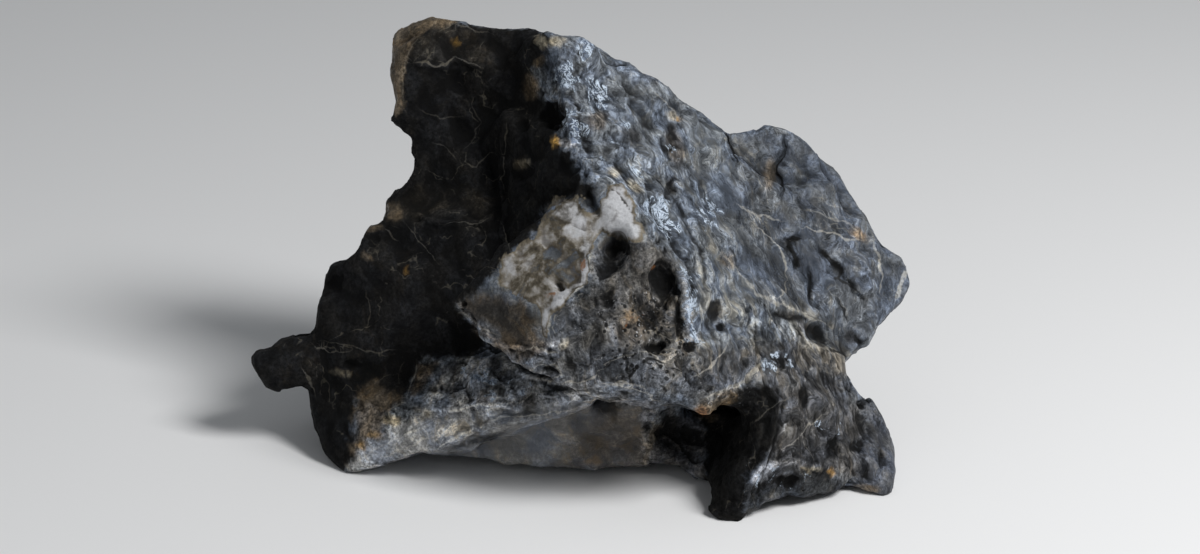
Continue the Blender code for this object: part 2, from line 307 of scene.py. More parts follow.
@dataclass(frozen=True)
class Streak:
    """A line along a path, painted in one coat and thinner at its ends."""

    name: str
    path: Path
    half_width: float = 2.2
    share: float = 1.0
    taper: float = 0.2
    end_width: float = 0.45
    end_strength: float = 0.35
    edge: Point = (0.3, 1.6)

    def width(self, along: np.ndarray) -> np.ndarray:
        """Returns half the line's width, by how far along it each place is."""
        return self.half_width * tapered(along, self.taper, self.end_width)

    def strength(self, along: np.ndarray) -> np.ndarray:
        """Returns how strong the line's coat is, by how far along it each place is."""
        return tapered(along, self.taper, self.end_strength)

    def cover(self, places: np.ndarray) -> np.ndarray:
        """Returns how much of a soft coat each place has."""
        gap, along, _ = path_distance(places, self.path)
        return (1 - smooth_step(*self.edge, gap / self.width(along))) * self.share


@dataclass(frozen=True)
class Calm:
    """A worn region, which keeps only this share of the broken relief."""

    name: str
    share: float
    outline: Path
    soft: float = 8.0

    def cover(self, places: np.ndarray) -> np.ndarray:
        """Returns how far each place is inside, from nought to one."""
        return smooth_step(-self.soft, self.soft, inside_depth(places, self.outline))


@dataclass(frozen=True)
class Carve:
    """A groove below, or with a negative depth a rib above, the surface along a path."""

    name: str
    path: Path
    half_width: float
    depth: float
    spread: float = 1.4
    taper: float = 0.1
    end_depth: float = 0.4

    def sink(self, places: np.ndarray, _fray: np.ndarray) -> np.ndarray:
        """Works out how deep the groove is.

        Args:
            places: picture places.
            _fray: left alone, since the places are swayed already.

        Returns:
            how far each place is lowered, in metres.
        """
        gap, along, _ = path_distance(places, self.path)
        share = 1 - smooth_step(0.0, 1.0, gap / self.half_width / self.spread)
        return share * tapered(along, self.taper, self.end_depth) * self.depth * MM


@dataclass(frozen=True)
class Dent:
    """An oval hollow of the given depth in millimetres, turned anticlockwise by turn degrees."""

    name: str
    middle: Point
    half: Point
    depth: float
    turn: float = 0.0
    ragged: float = 0.45
    edge: Point = (0.35, 1.15)

    def sink(self, places: np.ndarray, fray: np.ndarray) -> np.ndarray:
        """Returns how far each place is lowered, in metres, with its edge frayed."""
        reach = oval_reach(places, self.middle, self.half, self.turn) + fray * self.ragged
        return (1 - smooth_step(*self.edge, reach)) * self.depth * MM


# The left side, which faces away from the light; its zone paints it near black, the dark rock with
# painted shade.
DARK_SIDE = (
    (380, 0), (470, 24), (540, 28), (556, 40), (545, 58), (528, 80), (545, 100), (562, 102), (566, 120),
    (556, 138), (570, 150), (580, 175), (596, 190), (590, 198), (560, 196), (545, 206), (538, 228),
    (505, 262), (470, 300), (456, 305), (484, 342), (470, 356), (418, 360), (408, 396), (385, 412),
    (356, 400), (350, 440), (362, 462), (340, 478), (240, 400), (240, 330), (300, 250), (380, 180),
)

# Ground colours, each laid over those before it; some of them are painted shade and some painted light.
ZONES = (
    Zone("slab", Tint.SLAB, (
        (728, 130), (800, 130), (920, 250), (920, 300), (850, 360), (800, 316), (764, 300), (740, 260),
        (736, 200),
    ), soft=10),
    Zone("slope's foot", Tint.SHADE, (
        (690, 352), (730, 345), (800, 340), (850, 352), (856, 396), (800, 392), (750, 388), (700, 402),
    ), soft=12, share=0.8),
    Zone("foot's outer face", Tint.SHADE, (
        (770, 386), (820, 384), (866, 404), (872, 440), (866, 484), (800, 474), (742, 500), (766, 452),
    ), soft=10, share=0.95),
    Zone("heel", Tint.DUSK, ((864, 400), (900, 412), (910, 500), (866, 504), (858, 450)), soft=8),
    # Near black: the dark rock with painted shade over it.
    Zone("dark side", Tint.BLACK_AND_SHADE, DARK_SIDE, soft=3),
    Zone("panel", Tint.UMBER, ((408, 60), (414, 38), (440, 26), (470, 30), (492, 60), (450, 60))),
    Zone("outer rim", Tint.TAN, (
        (388, 34), (402, 26), (432, 14), (458, 22), (430, 28), (414, 40), (406, 62), (402, 84),
        (404, 104), (396, 116), (390, 100),
    ), soft=2, ragged=2, share=0.85),
    # Painted shadow of the ridge on this facet.
    Zone("black facet", Tint.SHADE_BLACK, (
        (508, 190), (545, 180), (575, 172), (592, 192), (560, 196), (545, 206), (538, 228), (508, 258),
        (500, 228),
    )),
    Zone("ledge top", Tint.UMBER, (
        (386, 208), (402, 194), (460, 186), (498, 200), (492, 212), (400, 222),
    ), soft=6),
    Zone("left skirt", Tint.TAN, (
        (356, 398), (372, 378), (384, 392), (404, 398), (386, 412), (384, 426), (378, 444), (366, 460),
        (352, 452),
    ), share=0.8),
    Zone("grey facet", Tint.BISTRE, ((418, 364), (440, 362), (422, 392), (408, 400)), soft=2, ragged=2),
    # Painted light: the shelf's top is brightened against the nose's shadow, and the front strip as lit.
    Zone("shelf top", Tint.BRIGHT_SLATE, (
        (424, 398), (444, 366), (500, 352), (540, 376), (590, 384), (585, 402), (500, 408), (430, 414),
    )),
    Zone("front strip", Tint.BRIGHT_SLATE, (
        (344, 472), (360, 450), (386, 428), (420, 414), (480, 402), (560, 400), (600, 396), (592, 408),
        (520, 420), (470, 432), (430, 452), (400, 466),
    ), soft=4),
    Zone("recess", Tint.SMOOTH_GREY, (
        (420, 456), (450, 438), (520, 418), (600, 402), (650, 400), (640, 470), (500, 472),
    )),
    Zone("recess right", Tint.BISTRE, (
        (572, 420), (600, 404), (652, 402), (654, 470), (566, 470),
    ), soft=26, share=0.85),
    # Painted shade in the cave, on the foot's inner face and on its sole.
    Zone("cave", Tint.SHADE, (
        (650, 468), (646, 448), (662, 420), (668, 404), (700, 424), (712, 420), (706, 480),
    ), soft=6, ragged=9),
    Zone("foot's inner face", Tint.SHADE_BLACK, (
        (704, 422), (720, 402), (750, 383), (768, 386), (780, 398), (780, 432), (768, 456), (746, 482),
        (745, 525), (700, 525), (704, 470),
    ), soft=3, ragged=3),
    Zone("foot's sole", Tint.BLACK_AND_SHADE, (
        (745, 525), (742, 492), (758, 484), (790, 470), (822, 468), (846, 484), (846, 505),
    ), soft=3, share=0.85),
    Zone("nose front", Tint.ASH, (
        (552, 344), (552, 310), (590, 290), (592, 250), (606, 236), (640, 240), (672, 250), (684, 300),
        (690, 350), (700, 400), (640, 384), (560, 386), (520, 372),
    ), share=0.95),
    Zone("nose face", Tint.SHADE, (
        (592, 250), (640, 240), (672, 252), (684, 330), (640, 340), (600, 320),
    ), soft=12, share=0.55),
    Zone("nose foot", Tint.STEEL, (
        (560, 345), (600, 350), (640, 356), (700, 352), (700, 400), (640, 384), (560, 386), (520, 372),
    ), soft=10, share=0.7),
    Zone("nose side", Tint.BISTRE, (
        (458, 304), (480, 292), (520, 300), (550, 345), (520, 366), (492, 346),
    ), share=0.9),
    Zone("nose tip", Tint.UMBER, (
        (470, 304), (500, 300), (536, 312), (538, 332), (506, 336), (484, 326),
    ), soft=8, share=0.75),
)

# Smaller marks, laid over the zones in this order; many are painted shade and a few painted highlights.
SPOTS = (
    Spot("panel fleck", Tint.OCHRE, (456, 44), (3, 4)),
    Spot("crest patch", Tint.CREAM, (541, 41), (7, 5), -30, 0.7),
    Spot("crest patch two", Tint.CREAM, (557, 41), (8, 5), 10, 0.55),
    Spot("crest tan", Tint.TAN, (540, 62), (7, 5), 30, 0.9),
    Spot("brow tan", Tint.TAN, (531, 86), (8, 12), 0, 0.9),
    Spot("wall cream", Tint.CREAM, (522, 164), (9, 5), 15, 0.3),
    Spot("brow ochre", Tint.OCHRE, (556, 141), (4, 4), 0, 0.9),
    Spot("brow white", Tint.QUARTZ, (568, 142), (9, 4), 0, 0.8),
    Spot("brow cream", Tint.CREAM, (616, 172), (7, 5), 0, 0.5),
    Spot("brow olive", Tint.BISTRE, (597, 121), (11, 10), 20, 0.75, 4.0),
    Spot("slope facet", Tint.BISTRE, (675, 146), (9, 20), 12, 0.75, 3.0),
    Spot("slope facet two", Tint.SHADE, (630, 137), (14, 9), -35, 0.65, 4.0),
    Spot("slope facet three", Tint.SHADE, (650, 78), (10, 5), -35, 0.5, 3.0),
    Spot("slope nick shade", Tint.UMBER, (671, 186), (4.5, 10), 20, 0.85, 2.0),
    Spot("slope gold", Tint.CREAM, (672, 116), (5, 4), -30, 0.5, 2.0),
    Spot("slope rust", Tint.OCHRE, (678, 119), (2, 2.5), 0, 0.6, 1.0),
    Spot("brow gold", Tint.CREAM, (634, 186), (10, 4), -35, 0.6),
    Spot("ledge rim", Tint.TAN, (392, 212), (10, 9), 0, 0.7),
    Spot("rim tan", Tint.TAN, (374, 228), (9, 4), 10, 0.5),
    Spot("rim tan two", Tint.TAN, (366, 256), (7, 4), -20, 0.4),
    Spot("wall fleck", Tint.OCHRE, (406, 271), (1.4, 4), 0, 0.35, 1.5),
    Spot("arm tan", Tint.CREAM, (342, 373), (14, 2.5), -5, 0.2),
    Spot("skirt cream", Tint.CREAM, (392, 420), (9, 5), 0, 0.7),
    Spot("skirt ochre", Tint.OCHRE, (374, 436), (8, 4), 0, 0.45),
    Spot("skirt ochre two", Tint.OCHRE, (362, 446), (6, 5), 30, 0.5),
    Spot("shelf cream", Tint.CREAM, (458, 398), (12, 7), -15, 0.3),
    Spot("shelf cream two", Tint.CREAM, (424, 412), (12, 4), -15, 0.35),
    Spot("shelf brown", Tint.TAN, (484, 396), (8, 8), 0, 0.6),
    # Dark rock and painted shade on the shelf under the nose.
    Spot("shelf dark", Tint.BLACK_AND_SHADE, (446, 402), (7, 5), 0, 0.7),
    Spot("shelf dark two", Tint.BLACK_AND_SHADE, (508, 378), (9, 9), 0, 0.6),
    Spot("shelf pale", Tint.ASH, (530, 404), (9, 12), 0, 0.9),
    Spot("recess rust", Tint.OCHRE, (592, 462), (9, 3), 0, 0.25),
    Spot("slab tan", Tint.TAN, (770, 174), (6, 17), -8, 0.65),
    Spot("slab gold", Tint.OCHRE, (858, 234), (9, 5), -35, 0.32),
    Spot("slab tan two", Tint.TAN, (726, 262), (8, 8), 0, 0.5),
    Spot("foot lip", Tint.TAN, (706, 412), (12, 10), 0, 0.9),
    Spot("foot lip rust", Tint.RUST, (702, 412), (6, 6), 0, 0.5),
    Spot("foot tan", Tint.TAN, (724, 400), (14, 7), 35, 0.7),
    Spot("foot gold", Tint.OCHRE, (831, 472), (4.5, 2.5), -15, 0.5, 1.5),
    Spot("foot cream", Tint.CREAM, (812, 469), (10, 2), -5, 0.35, 1.5),
    Spot("foot shade", Tint.BLACK_AND_SHADE, (832, 448), (7, 9), 0, 0.8, 3.0),
    Spot("foot shade two", Tint.BLACK_AND_SHADE, (790, 480), (13, 6), 5, 0.8, 3.0),
    Spot("foot shade three", Tint.BLACK_AND_SHADE, (803, 400), (5, 12), 0, 0.7, 2.5),
    Spot("foot shade four", Tint.UMBER, (851, 432), (7, 8), 0, 0.6, 3.0),
    Spot("heel shade", Tint.BLACK_AND_SHADE, (880, 455), (3, 8), 0, 0.8, 2.0),
    Spot("notch shade", Tint.SHADE_BLACK, (864, 402), (8, 4), 10, 0.85, 2.0),
    Spot("sole grain", Tint.SMOOTH_GREY, (772, 498), (10, 4), 35, 0.35, 4.0),
    Spot("foot blue", Tint.BRIGHT_SLATE, (788, 430), (4, 8), 10, 0.5, 3.0),
    Spot("heel tan", Tint.TAN, (866, 488), (14, 4), -10, 0.7),
    # Painted highlight on the sole.
    Spot("foot pale", Tint.QUARTZ, (764, 472), (14, 6), 42, 0.55),
    Spot("foot pale two", Tint.QUARTZ, (790, 463), (8, 2), 0, 0.12),
    Spot("edge blob", Tint.QUARTZ, (556, 343), (9, 4), 10, 0.9),
    Spot("edge blob cream", Tint.CREAM, (563, 344), (5, 3), 10, 0.7),
    # Painted shade in the quartz's notch and in the nose's hollows, pits and grooves.
    Spot("quartz notch", Tint.SHADE_BLACK, (589, 200), (6, 11), 20, 0.9, 2.0),
    Spot("scoop hollow", Tint.SHADE_BLACK, (616, 246), (9, 8), -20, 0.75),
    Spot("nose hollow", Tint.SHADE_BLACK, (663, 280), (13, 15), 0, 0.8),
    Spot("nose strip", Tint.SHADE_BLACK, (677, 320), (3.5, 15), 0, 0.9, 1.5),
    Spot("nose strip top", Tint.BLACK_AND_SHADE, (672, 300), (5, 9), 10, 0.8),
    Spot("nose shade", Tint.SHADE, (648, 315), (9, 6), 0, 0.8),
    Spot("nose pit", Tint.BLACK_AND_SHADE, (610, 298), (5, 10), -8, 0.8),
    Spot("nose pit two", Tint.SHADE_BLACK, (659, 347), (9, 6), 0, 0.85),
    Spot("nose pit three", Tint.UMBER, (686, 349), (6, 9), -15, 0.85),
    Spot("groove shade", Tint.SHADE, (715, 311), (8, 12), 10, 0.6),
    Spot("groove shade two", Tint.SHADE_BLACK, (721, 328), (4, 4), 0, 0.8),
    # A painted highlight down a column of the nose.
    Spot("nose blue", Tint.SMOOTH_GREY, (612, 338), (5, 15), 0, 0.8),
    Spot("nose blue two", Tint.STEEL, (572, 326), (14, 12), 20, 0.6, 4.0),
    Spot("nose blue three", Tint.STEEL, (600, 268), (8, 20), 0, 0.6, 4.0),
    Spot("nose olive", Tint.BISTRE, (630, 330), (15, 18), 0, 0.55, 5.0),
    Spot("nose strand", Tint.BLACK_AND_SHADE, (597, 328), (4, 24), 4, 0.8, 3.0),
    Spot("nose strand two", Tint.BLACK_AND_SHADE, (645, 292), (3, 18), 10, 0.5, 3.0),
    Spot("nose shade two", Tint.UMBER, (655, 318), (9, 9), 0, 0.7, 4.0),
    Spot("nose shade three", Tint.BLACK_AND_SHADE, (618, 376), (9, 5), 30, 0.6, 3.0),
    Spot("nose shade four", Tint.SHADE, (676, 368), (14, 5), 20, 0.6, 4.0),
    Spot("nose shade five", Tint.SHADE, (632, 262), (14, 9), 0, 0.6, 5.0),
    # Painted light on the nose's lit ridge, and a painted highlight at its foot.
    Spot("nose ridge", Tint.BRIGHT_SLATE, (686, 300), (7, 26), 4, 0.75),
    Spot("nose ridge foot", Tint.QUARTZ, (692, 339), (8, 4), 10, 0.5),
    Spot("nose gold", Tint.OCHRE, (632, 318), (6, 8), 0, 0.08),
    # Painted shade in and along the slab's splits and hollows, with brown rock among it.
    Spot("split blob", Tint.SHADE_BLACK, (790, 248), (4, 7), 30, 0.9, 2.0),
    Spot("split blob two", Tint.SHADE_BLACK, (796, 262), (4, 8), -5, 0.95, 2.0),
    Spot("split head blob", Tint.SHADE_BLACK, (793, 240), (9, 2.5), 8, 0.85, 2.0),
    Spot("outer blob", Tint.SHADE_BLACK, (824, 253), (7, 3.5), -45, 0.85, 2.5),
    Spot("outer blob two", Tint.SHADE_BLACK, (838, 268), (9, 4.5), -45, 0.95, 2.5),
    Spot("outer blob three", Tint.SHADE_BLACK, (853, 285), (10, 3), -55, 0.8, 2.5),
    Spot("outer blob four", Tint.SHADE_BLACK, (863, 298), (4, 3), -45, 0.8, 2.0),
    Spot("inner blob", Tint.SHADE_BLACK, (810, 287), (3, 16), 0, 0.8, 2.0),
    Spot("under slab brown", Tint.UMBER, (788, 315), (15, 5), -12, 0.75, 3.0),
    Spot("under slab shade", Tint.SHADE_BLACK, (802, 318), (5, 3), -10, 0.8, 2.0),
    Spot("eye shade", Tint.SHADE_BLACK, (818, 332), (10, 7), -40, 0.85, 3.0),
    Spot("eye brown", Tint.BISTRE, (806, 328), (10, 5), -30, 0.5, 3.0),
    Spot("triangle", Tint.SHADE, (852, 337), (7, 8), 0, 0.75, 2.0),
    Spot("triangle edge", Tint.SHADE_BLACK, (860, 342), (2.5, 4), 30, 0.9, 1.5),
    Spot("lower edge shade", Tint.SHADE_BLACK, (823, 353), (2.5, 5), 0, 0.8, 1.5),
    Spot("shelf shade", Tint.BLACK_AND_SHADE, (452, 370), (14, 9), 10, 0.8, 5.0),
    Spot("shelf shade two", Tint.BLACK_AND_SHADE, (496, 366), (8, 13), 0, 0.85, 4.0),
    Spot("shelf shade three", Tint.UMBER, (500, 388), (6, 9), 20, 0.8, 4.0),
    Spot("shelf shade four", Tint.BLACK_AND_SHADE, (556, 391), (15, 8), 0, 0.7, 4.0),
    Spot("shelf shade five", Tint.BLACK_AND_SHADE, (446, 388), (6, 6), 0, 0.7, 3.0),
    Spot("shelf blue", Tint.SLATE, (440, 404), (11, 6), 20, 0.8, 3.0),
    Spot("shelf edge cream", Tint.CREAM, (424, 417), (14, 3), 22, 0.4, 2.5),
    Spot("facet edge", Tint.TAN, (419, 378), (2.5, 13), -12, 0.7, 1.5),
    Spot("skirt gold", Tint.CREAM, (393, 422), (8, 4), -15, 0.55, 2.0),
    # Painted shade under the strip's lower lip.
    Spot("strip's under edge", Tint.BLACK_AND_SHADE, (476, 441), (30, 4.0), 16, 0.8, 2.5),
    Spot("recess shade", Tint.BLACK_AND_SHADE, (607, 406), (17, 8), -8, 0.75, 3.0),
    Spot("recess pale", Tint.CREAM, (588, 423), (3, 4), 0, 0.25, 1.5),
    Spot("tip dark", Tint.STEEL, (490, 330), (16, 5), -35, 0.8),
)

NOSE_QUARTZ = (
    (501, 258), (520, 246), (538, 234), (546, 212), (562, 197), (578, 198), (590, 217), (598, 206),
    (606, 182), (622, 180), (634, 206), (642, 232), (624, 240), (612, 234), (598, 238), (590, 256),
    (584, 284), (562, 298), (549, 318), (530, 306), (510, 296), (497, 284),
)

# Areas of each coat.
PATCHES = {
    Coat.QUARTZ: (
        Patch("nose quartz", NOSE_QUARTZ, soft=6, share=0.66),
        Patch("right white", (
            (600, 210), (606, 188), (622, 184), (634, 214), (640, 238), (618, 238), (600, 232),
        ), soft=6, share=1.25),
        Patch("left white", (
            (550, 214), (560, 198), (578, 199), (590, 222), (590, 256), (580, 240), (560, 226),
        ), soft=8, share=1.05),
        Patch("edge white", (
            (580, 242), (591, 242), (587, 284), (566, 298), (550, 312), (546, 340), (541, 334),
            (543, 310), (562, 292), (581, 278),
        ), soft=4, share=1.2),
    ),
    # Painted glints: bluish-white highlights where damp facets catch the light.
    Coat.PAINTED_GLINT: (
        Patch("crest painted glint", ((572, 38), (594, 36), (602, 56), (584, 60)), soft=8, share=0.8),
        Patch("summit painted glint", ((554, 64), (572, 60), (580, 84), (574, 92), (560, 88)), soft=6, share=1.1),
        Patch("summit painted glint two", (
            (582, 72), (600, 88), (612, 96), (604, 114), (592, 108),
        ), soft=7, share=1.15),
        Patch("summit painted glint three", ((566, 106), (578, 108), (588, 124), (580, 146), (566, 138)), soft=7),
        Patch("fleck", ((604, 134), (614, 136), (616, 146), (608, 144)), soft=5),
        Patch("fleck two", ((622, 164), (636, 168), (642, 178), (628, 174)), soft=5, share=0.95),
        Patch("fleck three", ((658, 142), (676, 144), (678, 158), (664, 152)), soft=5, share=0.9),
        Patch("fleck four", ((622, 118), (634, 120), (634, 128), (624, 126)), soft=4, share=0.8),
        Patch("fleck five", ((596, 150), (606, 150), (608, 160), (598, 160)), soft=4, share=0.7),
        Patch("brow painted glint", (
            (644, 204), (668, 196), (674, 222), (680, 244), (664, 240), (650, 222),
        ), soft=8, share=1.15),
        Patch("slope painted glint", (
            (696, 198), (716, 200), (724, 222), (706, 232), (694, 220),
        ), soft=8, share=0.85),
        Patch("nose ridge painted glint", (
            (682, 268), (696, 276), (698, 310), (702, 342), (688, 342), (684, 310),
        ), soft=7, share=0.95),
        Patch("shelf painted glint", ((460, 366), (492, 366), (500, 396), (470, 398)), soft=10, share=0.7),
        Patch("shelf painted glint two", ((508, 376), (532, 376), (534, 400), (512, 402)), soft=8, share=0.6),
        Patch("foot painted glint", ((812, 416), (840, 416), (842, 438), (812, 438)), soft=8, share=0.6),
        Patch("low painted glint", ((764, 354), (790, 354), (792, 374), (766, 374)), soft=8, share=0.6),
        Patch("sole painted glint", ((742, 462), (810, 456), (812, 494), (742, 500)), soft=12, share=0.25),
    ),
    Coat.TAN: (
        Patch("scoop tan", (
            (612, 300), (680, 290), (690, 340), (740, 376), (640, 380), (612, 340),
        ), soft=14, share=0.3),
        Patch("slope tan", (
            (690, 120), (740, 130), (770, 300), (760, 380), (700, 370), (700, 240),
        ), soft=30, share=0.1),
        Patch("slope mat", (
            (690, 250), (740, 290), (790, 320), (850, 345), (850, 380), (780, 380), (700, 370),
        ), soft=16, share=0.38),
        Patch("skirt tan", ((400, 398), (600, 396), (600, 420), (400, 432)), soft=10, share=0.12),
        Patch("tip tan", ((470, 292), (548, 300), (556, 360), (500, 350)), soft=12, share=0.15),
        Patch("shoulder tan", ((760, 300), (850, 330), (860, 480), (770, 380)), soft=20, share=0.1),
    ),
    # Where the pores' painted shade and painted glints lie.
    Coat.PORES: (
        Patch("nose pores", (
            (600, 300), (646, 286), (688, 330), (708, 372), (690, 388), (640, 384), (596, 372),
            (590, 330),
        ), soft=12, share=0.95),
        Patch("quartz pores", (
            (560, 300), (596, 280), (600, 372), (540, 372), (552, 330),
        ), soft=10, share=0.6),
        Patch("lip pores", (
            (690, 392), (744, 380), (748, 400), (712, 424), (694, 420),
        ), soft=8, share=0.7),
        Patch("shelf pores", ((450, 366), (540, 372), (540, 400), (450, 404)), soft=10, share=0.4),
    ),
    Coat.FIBRE: (
        Patch("nose fibre", (
            (592, 290), (660, 290), (700, 380), (640, 390), (560, 384), (560, 330),
        ), soft=12, share=0.6),
        Patch("slope fibre", (
            (560, 30), (740, 120), (910, 260), (860, 400), (900, 500), (790, 470), (700, 380), (680, 280),
            (600, 180),
        ), soft=30),
    ),
}

